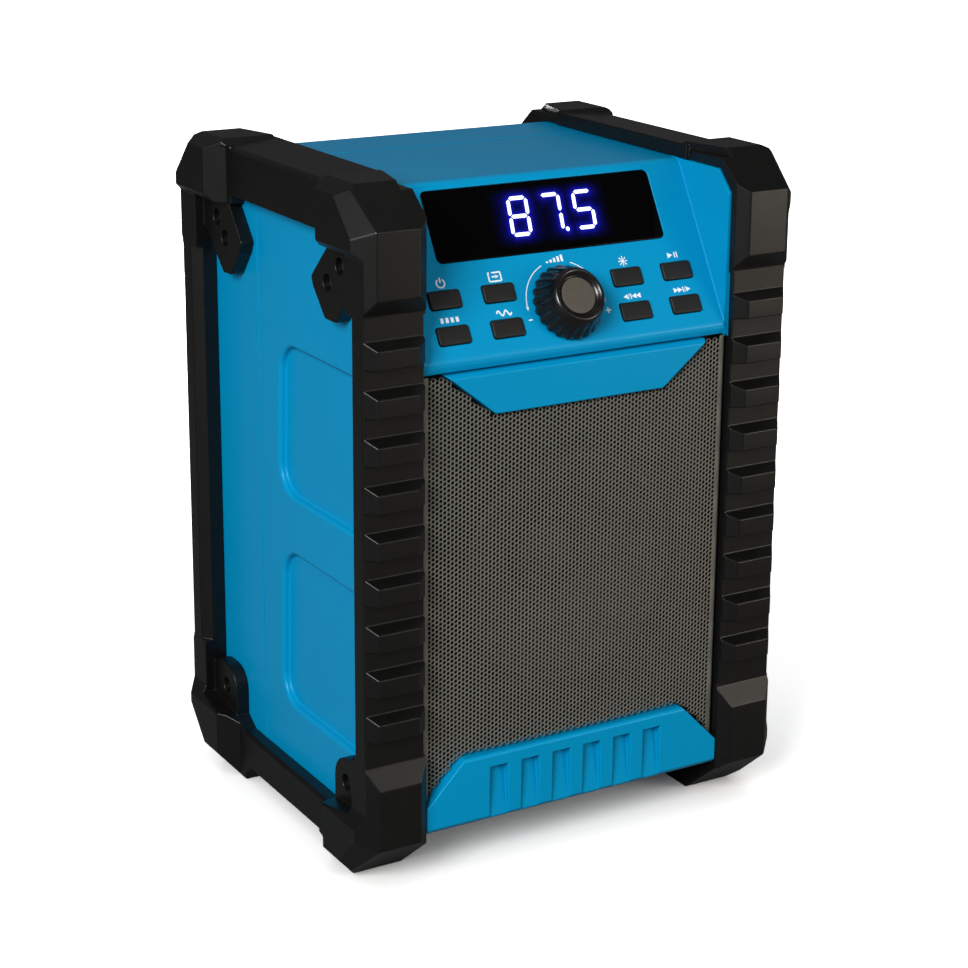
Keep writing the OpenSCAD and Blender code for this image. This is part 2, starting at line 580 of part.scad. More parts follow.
/* ---- Speaker ---- */
module on_speaker() at_front() translate([0, baffle_y + wall, speaker_z]) rotate([-90, 0, 0]) children();
roll_r = speaker_d / 2 - 15;
module speaker_frame() color("#3a3c3f") on_speaker() difference() {
    rotate_extrude($fn = 96) polygon([[roll_r + 3.4, 1], [speaker_d / 2 - 3.7, 1],
        [speaker_d / 2 - 3.7, 0], [speaker_d / 2, 0],
        [speaker_d / 2, 3.4], [roll_r + 6, 3.4], [42, 36], [42, 39], [22, 39], [22, 36.6], [39, 36.6],
            [roll_r + 3.4, 3]]);
    for (a = [30:60:359]) rotate(a) translate([roll_r - 6.5, 0, 18]) rotate([0, 90, 0])
        cylinder(r = 11, h = 40, center = true);
    for (a = [0:60:359]) rotate(a) translate([speaker_d / 2 - 5.5, 0, -1]) cylinder(r = 1.6, h = 6);
}
module speaker_magnet() color("#55585c") on_speaker() rotate_extrude($fn = 96)
    polygon([[14.6, 39], [38, 39], [38, 57], [35, 57], [35, 63], [0, 63], [0, 39], [11.6, 39],
        [11.6, 57], [14.6, 57]]);
module speaker_surround() color("#1c1c1c") on_speaker() rotate_extrude($fn = 96) polygon(concat(
    [[speaker_d / 2 - 4, 0], [speaker_d / 2 - 4, 0.9], [roll_r + 3, 0.9]],
    [for (a = [0:15:180]) [roll_r + 3.1 * cos(a), 0.9 - 3.1 * sin(a)]],
    [[roll_r - 4.2, 0.9], [roll_r - 4.2, 0]], [for (a = [180:-15:0]) [roll_r + 4 * cos(a), -4 * sin(a)]]));
module speaker_cone() color("#2b2d30") on_speaker() rotate_extrude($fn = 96) polygon([[roll_r - 4.5, -0.4],
    [roll_r - 4.5, 1.8], [roll_r - 7, 1.8], [13.2, 31], [13.2, 50], [12.5, 50], [12.5, 30],
        [roll_r - 8, 0], [roll_r - 7, -0.4]]);
module dust_cap() color("#222426") on_speaker() rotate_extrude($fn = 96)
    polygon(concat([for (a = [0:10:90]) [20 * sin(a), 23.2 - 11 * cos(a)]], [[20, 23.9], [18.9, 24.7]],
        [for (a = [90:-10:0]) [18.4 * sin(a), 23.9 - 9.8 * cos(a)]]));

/* ---- Battery bay and door ---- */
module battery_tray() color("#2a2a2a") at_front() difference() {
    union() {
        along_y(tray_mouth - tray_d, tray_mouth)
            polygon(plate_at(tray_half + tray_wall, tray_low - tray_wall, tray_top + tray_wall, 5));
        along_y(tray_mouth - 3, tray_mouth)
            polygon(plate_at(door_w / 2 + 4.5, door_z - 2, door_top + 5, 7));
        for (p = board_posts) translate([p[0], p[1], tray_top]) cylinder(r = 2.6, h = board_z - tray_top);
    }
    along_y(tray_mouth - tray_d + tray_wall, tray_mouth + 1)
        polygon(plate_at(tray_half, tray_low, tray_top, 4));
}
// Rails that a slide-on battery pack hangs on, with the contact blades between them
terminal_y = tray_mouth - tray_d + tray_wall;
terminal_low = tray_low + 30;
terminal_h = door_h - 58;
module battery_terminal() color("#3b3b3b") at_front() difference() {
    union() {
        translate([-31, terminal_y, terminal_low]) cube([62, 6, terminal_h]);
        translate([-19, terminal_y + 5, terminal_low]) cube([38, 6, terminal_h]);
        translate([-25, terminal_y + 10, terminal_low]) cube([50, 4, terminal_h]);
    }
    for (x = [-11, 0, 11]) translate([x - 1.6, terminal_y + 6, terminal_low - 1]) cube([3.2, 10, 46]);
}
module terminal_blades() color("#c9a24a") at_front() for (x = [-11, 0, 11])
    translate([x - 0.4, terminal_y + 6, terminal_low + 4]) cube([0.8, 7, 24]);
module battery_door() color(blue) at_front() difference() {
    union() {
        along_y(back_y - door_t + 0.8, back_y + 0.8) polygon(plate_at(door_w / 2, door_z + 3, door_top, 6));
        // Stiffening ribs on the outside
        for (x = [-44, -22, 22, 44]) translate([x - 2, back_y, door_z + 24]) cube([4, 2.6, door_h - 60]);
        both_sides() along_x(door_knuckle[0], door_knuckle[1]) polygon([[back_y + 0.4, hinge_z],
            [back_y + 0.4, door_z + 14],
            [back_y + 1, door_z + 14], [hinge_y + 2, hinge_z + 3], [hinge_y + 2, hinge_z]]);
        both_sides() rod_x(knuckle_r, door_knuckle[0], door_knuckle[1], hinge_y, hinge_z);
        // Ears for the latch's pin
        for (s = [-1, 1]) along_x(s * 16 - 2.2, s * 16 + 2.2) polygon(rounded([[back_y, latch_z - 4],
            [latch_y + 2.4, latch_z - 4, 2], [latch_y + 2.4, latch_z + 4, 2], [back_y, latch_z + 4]], 3));
    }
    both_sides() rod_x(hinge_pin_r + 0.05, door_knuckle[0] - 1, door_knuckle[1] + 1, hinge_y, hinge_z);
    rod_x(1.05, -20, 20, latch_y, latch_z);
}
module door_hinge_pin() color("#b5b8bb") both_sides() at_front()
    rod_x(hinge_pin_r, knuckle_xs[0][0] + 0.3, knuckle_xs[1][1] - 0.3, hinge_y, hinge_z);
// Latch: a clip on the door that snaps over the bead above it
latch_z = door_top - 16;
latch_y = back_y + 4.4;
latch_end = door_top + 10;
module door_latch() color("#262626") at_front() difference() {
    union() {
        rod_x(2.3, -13.4, 13.4, latch_y, latch_z);
        along_x(-13.4, 13.4) polygon([[back_y + 2, latch_z], [back_y + 2, latch_end - 1.5],
            [back_y + 3.4, latch_end + 2],
            [latch_y + 2.2, latch_end + 2], [latch_y + 2.2, latch_end - 1],
                [latch_y + 0.6, latch_end - 5], [latch_y + 2.3, latch_z]]);
    }
    rod_x(1.05, -20, 20, latch_y, latch_z);
}
module latch_pin() color("#b5b8bb") at_front() rod_x(1, -18, 18, latch_y, latch_z);

/* ---- Sockets ---- */
module socket_panel() color("#1d1d1d") at_front() difference() {
    union() {
        along_y(back_y - wall - 2.4, back_y - wall)
            translate([cover_x, cover_top - cover_h / 2 - 2]) polygon(plate(56, 28, 4));
        rod_y(5.5, back_y - wall - 14, back_y - wall - 1, cover_x + 13, cover_top - cover_h / 2 - 2);
        rod_y(4, back_y - wall - 16, back_y - wall - 1, cover_x - 12, cover_top - cover_h / 2 - 2);
    }
    rod_y(3.2, back_y - wall - 11, back_y, cover_x + 13, cover_top - cover_h / 2 - 2);
    rod_y(1.8, back_y - wall - 15, back_y, cover_x - 12, cover_top - cover_h / 2 - 2);
    rod_y(1, back_y - wall - 17, back_y, cover_x - 12, cover_top - cover_h / 2 - 2);
}
module socket_cover() color("#262626") at_front() {
    along_y(back_y + 0.3, back_y + 2.3)
        polygon(plate_at_x(cover_x, cover_w / 2, cover_top - cover_h - 2, cover_top - 2.2, 4));
    along_y(back_y - 1.6, back_y + 0.4) translate([cover_x, cover_top - cover_h / 2 - 2])
        polygon(plate(48.4, 20.4, 2.6));
    // Finger lip, barrel and its end pins
    along_x(cover_x - 10, cover_x + 10) polygon([[back_y + 1, cover_top - cover_h - 2],
        [back_y + 6, cover_top - cover_h - 2],
        [back_y + 6, cover_top - cover_h - 0.6], [back_y + 2, cover_top - cover_h + 1.5]]);
    along_x(cover_x - 20, cover_x + 20) polygon([[back_y + 0.9, cover_top - 4],
        [back_y + 0.9, cover_hinge[1]],
        [cover_hinge[0] + 1.8, cover_hinge[1]], [back_y + 2.3, cover_top - 4]]);
    rod_x(1.8, cover_x - 20, cover_x + 20, cover_hinge[0], cover_hinge[1]);
    rod_x(1.25, cover_x - 24.4, cover_x + 24.4, cover_hinge[0], cover_hinge[1]);
}
function plate_at_x(x, half, low, high, r) = [for (p = plate_at(half, low, high, r)) [p[0] + x, p[1]]];

/* ---- Antenna ---- */
mast_y = back_y + 4.7;
mast_z = door_top + antenna_rise;
mast_x = body_out - mast_inset;
elbow_z = mast_z + 20;
tube_2_d = mast_d - 1.9;
tube_3_d = tube_2_d - 1.7;
ear_gap = 1.4;
module on_antenna() at_front() translate([mast_x, mast_y, 0]) children();
module antenna_base() color("#262626") on_antenna() difference() {
    along_z(mast_z, mast_z + 12) polygon(rounded([[-8, back_y - mast_y], [-6, 4, 3.5], [6, 4, 3.5],
        [8, back_y - mast_y]]));
    translate([0, 0, mast_z + 2]) cylinder(r = 2.85, h = 20);
}
module antenna_swivel() color("#b9bcc0") on_antenna() difference() {
    union() {
        translate([0, 0, mast_z + 2.3]) cylinder(r = 2.8, h = 11);
        translate([0, 0, mast_z + 12.3]) cylinder(r = 3.8, h = 2);
        intersection() {
            translate([0, 0, mast_z + 13]) cylinder(r = 3.8, h = 10);
            for (s = [-1, 1]) along_x(s > 0 ? ear_gap : -3.8, s > 0 ? 3.8 : -ear_gap)
                polygon(rounded([[-2.8, mast_z + 13], [2.8, mast_z + 13], [2.8, elbow_z + 2.6, 2.5],
                    [-2.8, elbow_z + 2.6, 2.5]], 4));
        }
    }
    rod_x(1.05, -5, 5, 0, elbow_z);
}
module antenna_pin() color("#8d9297") on_antenna() rod_x(1, -3.6, 3.6, 0, elbow_z);
module antenna_mast() color("#d2d4d6") on_antenna() difference() {
    union() {
        along_x(-ear_gap + 0.15, ear_gap - 0.15) polygon(rounded([[-2.4, elbow_z - 2.6, 2.3],
            [2.4, elbow_z - 2.6, 2.3],
            [2.4, elbow_z + 6], [-2.4, elbow_z + 6]], 4));
        translate([0, 0, elbow_z + 5]) cylinder(d = mast_d, h = mast_len);
    }
    rod_x(1.05, -5, 5, 0, elbow_z);
    translate([0, 0, elbow_z + 8]) cylinder(d = tube_2_d + 0.1, h = mast_len);
}
module antenna_tube_2() color("#d2d4d6") on_antenna() difference() {
    translate([0, 0, elbow_z + 8.3]) cylinder(d = tube_2_d, h = mast_len);
    translate([0, 0, elbow_z + 11]) cylinder(d = tube_3_d + 0.1, h = mast_len);
}
module antenna_tube_3() color("#d2d4d6") on_antenna() {
    translate([0, 0, elbow_z + 11.3]) cylinder(d = tube_3_d, h = mast_len);
    translate([0, 0, elbow_z + 9 + mast_len]) cylinder(r = 3.2, h = 6);
}

front_housing();
rear_housing();
housing_seal();
housing_screws();
side_frame_left();
side_frame_right();
frame_screws();
grille();
chin_panel();
vent_panel();
display_window();
led_module();
power_button();
source_button();
preset_button();
tune_button();
light_button();
play_button();
previous_button();
next_button();
volume_knob();
knob_cap();
encoder_shaft();
encoder_body();
control_board();
tact_switches();
ribbon_cable();
main_board();
heat_sink();
speaker_frame();
speaker_magnet();
speaker_surround();
speaker_cone();
dust_cap();
battery_tray();
battery_terminal();
terminal_blades();
battery_door();
door_hinge_pin();
door_latch();
latch_pin();
socket_panel();
socket_cover();
antenna_base();
antenna_swivel();
antenna_pin();
antenna_mast();
antenna_tube_2();
antenna_tube_3();
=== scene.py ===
"""Jobsite radio: a blue moulded body between two black ribbed side frames, with a lit display.

The exact solids give every piece its place. Here each visible piece gets its rounded edges, its fine
parts, such as the punched grille and the printed signs, and its material."""
import bpy
import bmesh
import json
import math
import numpy as np
from mathutils import Matrix, Vector
from mathutils.bvhtree import BVHTree


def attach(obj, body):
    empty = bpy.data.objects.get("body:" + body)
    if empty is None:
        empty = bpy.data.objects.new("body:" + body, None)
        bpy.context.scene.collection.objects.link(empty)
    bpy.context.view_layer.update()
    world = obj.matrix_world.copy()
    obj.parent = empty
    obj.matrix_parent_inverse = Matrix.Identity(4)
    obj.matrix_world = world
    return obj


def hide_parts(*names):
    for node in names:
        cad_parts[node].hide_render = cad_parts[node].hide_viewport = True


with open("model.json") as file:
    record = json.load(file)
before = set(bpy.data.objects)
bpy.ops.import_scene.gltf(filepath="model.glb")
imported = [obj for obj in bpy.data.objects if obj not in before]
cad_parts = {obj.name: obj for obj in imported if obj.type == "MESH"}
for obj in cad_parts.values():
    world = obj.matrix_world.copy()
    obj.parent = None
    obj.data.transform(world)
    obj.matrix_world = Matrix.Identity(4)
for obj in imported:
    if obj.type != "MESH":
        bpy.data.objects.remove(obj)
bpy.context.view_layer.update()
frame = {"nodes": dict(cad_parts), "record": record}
MM = 0.001

# Lengths are in millimetres unless metres are named, and angles in radians unless degrees are named
HALF_DEPTH = 112.5          # half the depth of the side frames
FLANK = 112.0               # half the width of the housing
DISH_FLOOR = 108.0          # the same, at the floor of the panels pressed into its sides
TILT = math.radians(30)     # lean of the fascia from the upright
LIP = (9.3, 273.0)          # depth and height of the fascia's lower lip


def placed(x_axis, y_axis, z_axis, place):
    """The matrix of an object turned to three axes and put at a place in metres."""
    matrix = Matrix.Identity(4)
    for column, vector in enumerate((x_axis, y_axis, z_axis, place)):
        for row in range(3):
            matrix[row][column] = vector[row]
    return matrix


# ---- Camera: the photograph's own viewpoint, found from the straight edges of the frames ----
CAMERA_TURN = (-30.6104, 15.9324, 0.43141)      # azimuth, elevation and roll in degrees
CAMERA_PLACE = (-0.615040, -1.047520, 0.562380)
camera = bpy.data.objects.new("camera", bpy.data.cameras.new("camera"))
bpy.context.scene.collection.objects.link(camera)
bpy.context.scene.camera = camera
azimuth, elevation, roll = (math.radians(a) for a in CAMERA_TURN)
back = np.array([math.sin(azimuth) * math.cos(elevation),
                 -math.cos(azimuth) * math.cos(elevation), math.sin(elevation)])
side = np.array([math.cos(azimuth), math.sin(azimuth), 0.0])
above = np.cross(back, side)
right = side * math.cos(roll) + above * math.sin(roll)
up = above * math.cos(roll) - side * math.sin(roll)
camera.matrix_world = placed(right, up, back, CAMERA_PLACE)
camera.data.sensor_width = 36.0
camera.data.lens = 85.712
camera.data.shift_x = 0.0002
camera.data.shift_y = -0.08
camera.data.clip_end = 50.0


# ---- Materials ----
def linear(hex_colour):
    """An sRGB hex colour as opaque linear numbers: the sRGB curve turned back, channel by channel."""
    parts = [int(hex_colour[i:i + 2], 16) / 255 for i in (1, 3, 5)]
    return tuple(c / 12.92 if c <= 0.04045 else ((c + 0.055) / 1.055) ** 2.4 for c in parts) + (1.0,)


def add(tree, kind, inputs=None, **settings):
    """Adds a node, sets its settings, and gives each named input a value or a link from a socket."""
    made = tree.nodes.new(kind)
    for key, value in settings.items():
        setattr(made, key, value)
    for key, value in (inputs or {}).items():
        if isinstance(value, bpy.types.NodeSocket):
            tree.links.new(value, made.inputs[key])
        else:
            made.inputs[key].default_value = value
    return made


def new_material(name):
    """An empty node material and its tree."""
    material = bpy.data.materials.new(name)
    material.use_nodes = True
    material.node_tree.nodes.clear()
    return material, material.node_tree


def finish(name, colour, rough, grain, relief, mottle=0.05, cloud=22.0, spread=0.06, metallic=0.0,
           ior=1.5, specular=0.25, tint=None, stretch=(1, 1, 1), painted=None):
    """A solid-coloured surface with the fine relief its making leaves.
    grain and cloud are the sizes of the relief and of the slow change of tone, and relief is the
    relief's depth. mottle is the share by which the tone varies, spread how far the roughness strays.
    tint colours the reflections, and stretch draws the relief out along an axis where it is below 1.
    painted is a box, as its middle and half sizes in metres, in which the surface is painted black."""
    material, tree = new_material(name)
    place = add(tree, "ShaderNodeTexCoord")
    turned = add(tree, "ShaderNodeMapping", {"Vector": place.outputs["Object"], "Scale": stretch})
    fine = add(tree, "ShaderNodeTexNoise", {
        "Vector": turned.outputs[0], "Scale": 1 / (grain * MM), "Detail": 3.0, "Roughness": 0.6})
    slow = add(tree, "ShaderNodeTexNoise", {
        "Vector": turned.outputs[0], "Scale": 1 / (cloud * MM), "Detail": 4.0, "Roughness": 0.65})
    base = linear(colour)
    dark = tuple(c * (1 - mottle) for c in base[:3]) + (1.0,)
    light = tuple(min(1.0, c * (1 + mottle)) for c in base[:3]) + (1.0,)
    tone = add(tree, "ShaderNodeMapRange", {
        "Value": slow.outputs["Fac"], "From Min": 0.3, "From Max": 0.7})
    mixed = add(tree, "ShaderNodeMix", {0: tone.outputs[0], 6: dark, 7: light}, data_type="RGBA")
    if painted:
        axes = add(tree, "ShaderNodeSeparateXYZ", {0: place.outputs["Object"]})
        inside = [add(tree, "ShaderNodeMath", {0: axes.outputs[i], 1: painted[0][i], 2: painted[1][i]},
                      operation="COMPARE").outputs[0] for i in range(3)]
        both = add(tree, "ShaderNodeMath", {0: inside[0], 1: inside[1]}, operation="MULTIPLY")
        every = add(tree, "ShaderNodeMath", {0: both.outputs[0], 1: inside[2]}, operation="MULTIPLY")
        mixed = add(tree, "ShaderNodeMix", {
            0: every.outputs[0], 6: mixed.outputs[2], 7: linear("#0a0a0a")}, data_type="RGBA")
    polish = add(tree, "ShaderNodeMapRange", {
        "Value": fine.outputs["Fac"], "From Min": 0.25, "From Max": 0.75,
        "To Min": rough - spread, "To Max": rough + spread})
    bump = add(tree, "ShaderNodeBump", {
        "Height": fine.outputs["Fac"], "Strength": 1.0, "Distance": relief * MM})
    shader = add(tree, "ShaderNodeBsdfPrincipled", {
        "Base Color": mixed.outputs[2], "Roughness": polish.outputs[0], "Normal": bump.outputs[0],
        "Metallic": metallic, "IOR": ior, "Specular IOR Level": specular})
    if tint:
        shader.inputs["Specular Tint"].default_value = linear(tint)
    add(tree, "ShaderNodeOutputMaterial", {"Surface": shader.outputs[0]})
    return material


BAFFLE_BOX = ((0, -0.09275, 0.14485), (0.0934, 0.01025, 0.12235))
BLUE_ABS = {"colour": "#0088b9", "rough": 0.30, "grain": 0.45, "relief": 0.008, "mottle": 0.02,
            "cloud": 60, "specular": 0.30, "tint": "#8fd0ea"}
# ABS, injection moulded in a spark-eroded tool: an even satin blue with a very fine grain
shell_abs = finish("blue_satin_abs", **BLUE_ABS)
# The same housing in front, its baffle painted black behind the grille
shell_front = finish("blue_satin_abs_front", painted=BAFFLE_BOX, **BLUE_ABS)
# Glass-filled nylon, moulded: near black, slightly cloudy, with a coarser grain than the housing
frame_nylon = finish("charcoal_frame_nylon", "#0a0a09", 0.37, 0.7, 0.04, mottle=0.2, cloud=9,
                     specular=0.32)
# Cast acrylic, polished: a black window with an even gloss
window_acrylic = finish("black_window_acrylic", "#020203", 0.07, 30, 0.002, mottle=0.0, spread=0.01,
                        ior=1.49, specular=0.1)
# Silicone rubber, moulded: soft dark grey without gloss
key_rubber = finish("charcoal_key_silicone", "#161616", 0.50, 0.4, 0.02, mottle=0.08, cloud=4,
                    specular=0.3)
# ABS, moulded and lightly polished: satin black
knob_abs = finish("satin_black_knob_abs", "#070707", 0.26, 0.5, 0.006, mottle=0.05, cloud=8,
                  specular=0.55)
# ABS, moulded against a blasted tool: warm grey, grainy
cap_abs = finish("grained_grey_cap_abs", "#4c4840", 0.50, 0.55, 0.06, mottle=0.14, cloud=1.6,
                 specular=0.3)
# Steel sheet, punched and powder coated: warm grey with the orange-peel of the coat
mesh_steel = finish("powder_coated_grille_steel", "#69675f", 0.34, 1.3, 0.01, mottle=0.06, cloud=12,
                    specular=0.5)
# Steel, turned and blackened in oxide: dark, with a dull metal shine
screw_steel = finish("black_oxide_screw_steel", "#5a5a5e", 0.28, 0.5, 0.01, metallic=0.9, specular=0.5)
# Steel, zinc plated: pale and slightly blue
plain_steel = finish("zinc_plated_steel", "#a9adb1", 0.30, 0.6, 0.006, metallic=1.0, specular=0.5)
# Brass tube, drawn and chrome plated: bright, with faint marks along its length
bright_tube = finish("chromed_antenna_tube", "#d4d6d8", 0.12, 0.3, 0.003, metallic=1.0, specular=0.5,
                     stretch=(1, 1, 0.05))
# Synthetic rubber, an extruded cord and a moulded flap: black and dull
seal_rubber = finish("black_seal_rubber", "#1b1b1c", 0.6, 0.6, 0.02, mottle=0.1, cloud=6)
# ABS, moulded: satin black, for the latch, the tray and the socket plate
dark_abs = finish("black_satin_abs", "#1a1b1c", 0.42, 0.5, 0.015, mottle=0.08, cloud=14, specular=0.3)
# Glass-epoxy board, pressed, under green solder resist: the weave shows faintly
board_epoxy = finish("green_resist_board_epoxy", "#1c5633", 0.3, 0.9, 0.01, mottle=0.12, cloud=3,
                     stretch=(1, 3, 1))
# Polyester ribbon cable, laminated: pale grey with its wires showing along its length
cable_polyester = finish("grey_ribbon_polyester", "#b4b0a6", 0.45, 1.27, 0.05, mottle=0.08,
                         stretch=(1, 0.02, 0.02))
# Aluminium, extruded: fine lines along the fins
sink_aluminium = finish("extruded_sink_aluminium", "#a2a6aa", 0.35, 0.4, 0.01, metallic=1.0,
                        specular=0.5, stretch=(1, 0.04, 1))
# Steel, pressed and enamelled: a smooth, stoved black
basket_enamel = finish("stoved_basket_enamel", "#2f3133", 0.38, 1.0, 0.01, mottle=0.06)
# Ferrite, sintered: dark, gritty grey
magnet_ferrite = finish("sintered_magnet_ferrite", "#4a4c50", 0.6, 0.6, 0.04, mottle=0.15, cloud=3)
# Paper pulp, pressed: black, fibrous
cone_pulp = finish("pressed_cone_pulp", "#232426", 0.75, 0.8, 0.06, mottle=0.2, cloud=5)
# Nitrile rubber, moulded: black with a soft sheen
surround_rubber = finish("moulded_surround_nitrile", "#171717", 0.5, 0.5, 0.01, mottle=0.06)
# Brass strip, stamped: warm yellow, bright
blade_brass = finish("stamped_blade_brass", "#c39a45", 0.28, 0.5, 0.006, metallic=1.0, specular=0.5)

NODE_MATERIALS = {
    "front_housing": shell_front, "rear_housing": shell_abs, "chin_panel": shell_abs,
    "vent_panel": shell_abs, "battery_door": shell_abs,
    "side_frame_left": frame_nylon, "side_frame_right": frame_nylon,
    "housing_seal": seal_rubber, "housing_screws": plain_steel, "frame_screws": screw_steel,
    "grille": mesh_steel, "display_window": window_acrylic, "led_module": dark_abs,
    "volume_knob": knob_abs, "knob_cap": cap_abs,
    "encoder_shaft": plain_steel, "encoder_body": plain_steel,
    "control_board": board_epoxy, "main_board": board_epoxy, "tact_switches": plain_steel,
    "ribbon_cable": cable_polyester, "heat_sink": sink_aluminium, "speaker_frame": basket_enamel,
    "speaker_magnet": magnet_ferrite, "speaker_surround": surround_rubber, "speaker_cone": cone_pulp,
    "dust_cap": cone_pulp, "battery_tray": dark_abs, "battery_terminal": dark_abs,
    "terminal_blades": blade_brass, "door_hinge_pin": plain_steel, "door_latch": dark_abs,
    "latch_pin": plain_steel, "socket_panel": dark_abs, "socket_cover": seal_rubber,
    "antenna_base": dark_abs, "antenna_swivel": bright_tube, "antenna_pin": plain_steel,
    "antenna_mast": bright_tube, "antenna_tube_2": bright_tube, "antenna_tube_3": bright_tube}
KEYS = ("power", "source", "preset", "tune", "light", "play", "previous", "next")
for key in KEYS:
    NODE_MATERIALS[key + "_button"] = key_rubber
for node, material in NODE_MATERIALS.items():
    mesh = frame["nodes"][node].data
    mesh.materials.clear()
    mesh.materials.append(material)

SLOTS = {s["node"]: s["material_slot"] for s in frame["record"]["subparts"]}
BODY_OF = {n: body for body, nodes in frame["record"]["behaviour"]["bodies"].items() for n in nodes}


# ---- Making pieces ----
def piece(name, points, faces, material, body="radio", slot=None, node=None, smooth=True):
    """Makes a mesh object of points and faces that rides on a body and may stand for a CAD node.
    The points are in front coordinates: millimetres, with y counted back from the frames' front."""
    points = np.asarray(points, float).reshape(-1, 3) * MM - np.array([0, HALF_DEPTH * MM, 0])
    mesh = bpy.data.meshes.new(name)
    mesh.from_pydata(points, [], faces)
    mesh.polygons.foreach_set("use_smooth", np.full(len(mesh.polygons), smooth))
    mesh.materials.append(material)
    mesh.validate()
    made = bpy.data.objects.new(name, mesh)
    bpy.context.scene.collection.objects.link(made)
    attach(made, body)
    if node:
        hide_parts(node)
        slot = slot or SLOTS[node]
    return made


def rings_to_faces(rings, count, cap_first=False):
    """Quads between closed rings of equally many points, each ring inside or above the last, with a
    flat face over the last ring and, where asked, over the first."""
    i = np.arange(rings - 1)[:, None] * count
    j = np.arange(count)[None, :]
    k = (j + 1) % count
    quads = np.stack([i + j, i + k, i + count + k, i + count + j], -1).reshape(-1, 4).tolist()
    if cap_first:
        quads.append(list(range(count))[::-1])
    quads.append(list(range((rings - 1) * count, rings * count)))
    return quads


def on_fascia(points, x=0.0, up=0.0):
    """Turns points on the fascia (to the right, up its slope, out of it) into front coordinates."""
    p = np.asarray(points, float).reshape(-1, 3) + np.array([x, up, 0])
    s, c = math.sin(TILT), math.cos(TILT)
    return np.stack([p[:, 0], LIP[0] + p[:, 1] * s - p[:, 2] * c,
                     LIP[1] + p[:, 1] * c + p[:, 2] * s], -1)


SHARP = math.radians(24.0)      # edges turned by more than this are rounded
FLAT = math.radians(0.4)        # faces turned by less than this are one face
LEVEL = 0.007                   # edges turned by less than this, in radians, part no real faces
WELD = 4e-6                     # points closer than this, in metres, are one point


def softened(node, width, segments=3, wide=None, cuts=()):
    """A copy of a CAD node whose edges are rounded by `width`, as its mould leaves them.
    wide takes the edges' ends as arrays and gives a width for each edge, or 0 to keep `width`.
    cuts are heights at which large faces are parted, so that each part has a plain outline."""
    mesh = frame["nodes"][node].data.copy()
    mesh.name = node + "_skin"
    shape = bmesh.new()
    shape.from_mesh(mesh)
    bmesh.ops.remove_doubles(shape, verts=shape.verts, dist=WELD)
    bmesh.ops.dissolve_limit(shape, angle_limit=FLAT, verts=shape.verts, edges=shape.edges)
    for z in cuts:
        bmesh.ops.bisect_plane(shape, geom=shape.verts[:] + shape.edges[:] + shape.faces[:],
                               plane_co=(0, 0, z * MM), plane_no=(0, 0, 1), dist=1e-7)
    if cuts:
        spare = [e for e in shape.edges if e.calc_face_angle(1.0) < LEVEL
                 and not any(all(abs(v.co.z - z * MM) < 1e-6 for v in e.verts) for z in cuts)]
        bmesh.ops.dissolve_limit(shape, angle_limit=FLAT, verts=[], edges=spare)
    shape.to_mesh(mesh)
    angles = np.array([e.calc_face_angle(0.0) for e in shape.edges])
    solid = BVHTree.FromBMesh(shape)
    shape.free()
    ends = np.zeros(len(mesh.edges) * 2, np.int32)
    mesh.edges.foreach_get("vertices", ends)
    co = np.zeros(len(mesh.vertices) * 3, np.float32)
    mesh.vertices.foreach_get("co", co)
    co_cad = co.reshape(-1, 3)
    co = co_cad / MM + np.array([0, HALF_DEPTH, 0])
    a, b = co[ends[0::2]], co[ends[1::2]]
    widths = np.where(angles > SHARP, width, 0.0)
    if wide:
        asked = wide(a, b)
        widths = np.where((asked > 0) & (angles > SHARP), asked, widths)
    most = max(widths.max(), 1e-3)
    weight = (mesh.attributes.get("bevel_weight_edge")
              or mesh.attributes.new("bevel_weight_edge", "FLOAT", "EDGE"))
    weight.data.foreach_set("value", (widths / most).astype(np.float32))
    made = bpy.data.objects.new(mesh.name, mesh)
    bpy.context.scene.collection.objects.link(made)
    bevel = made.modifiers.new("rounded_edges", "BEVEL")
    bevel.limit_method, bevel.width, bevel.segments = "WEIGHT", most * MM, segments
    bevel.use_clamp_overlap = False
    graph = bpy.context.evaluated_depsgraph_get()
    rounded = bpy.data.meshes.new_from_object(made.evaluated_get(graph))
    made.modifiers.clear()
    # A point that a very flat corner has thrown out goes back to the nearest place on the solid
    reach = (1.1 * most if wide else 1.2 * width) * MM
    co = np.zeros(len(rounded.vertices) * 3, np.float32)
    rounded.vertices.foreach_get("co", co)
    co = co.reshape(-1, 3)
    for i, p in enumerate(co):
        place, _, _, distance = solid.find_nearest(Vector(p))
        if distance > reach:
            co[i] = place
    low, high = co_cad.min(0), co_cad.max(0)
    rounded.vertices.foreach_set("co", np.clip(co, low, high).ravel())
    rounded.polygons.foreach_set("use_smooth", np.ones(len(rounded.polygons), bool))
    made.data = rounded
    even = made.modifiers.new("even_shading", "WEIGHTED_NORMAL")
    even.mode, even.weight, even.keep_sharp = "FACE_AREA", 100, False
    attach(made, BODY_OF[node])
    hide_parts(node)


# Between these depths and heights lie the panels pressed into the sides
DISH_DEPTHS, DISH_HEIGHTS = (10.5, 131), (60, 264)
RIM_WIDTH, FLOOR_WIDTH = 2.2, 1.6       # rounding of a pressed panel's edge and of its floor


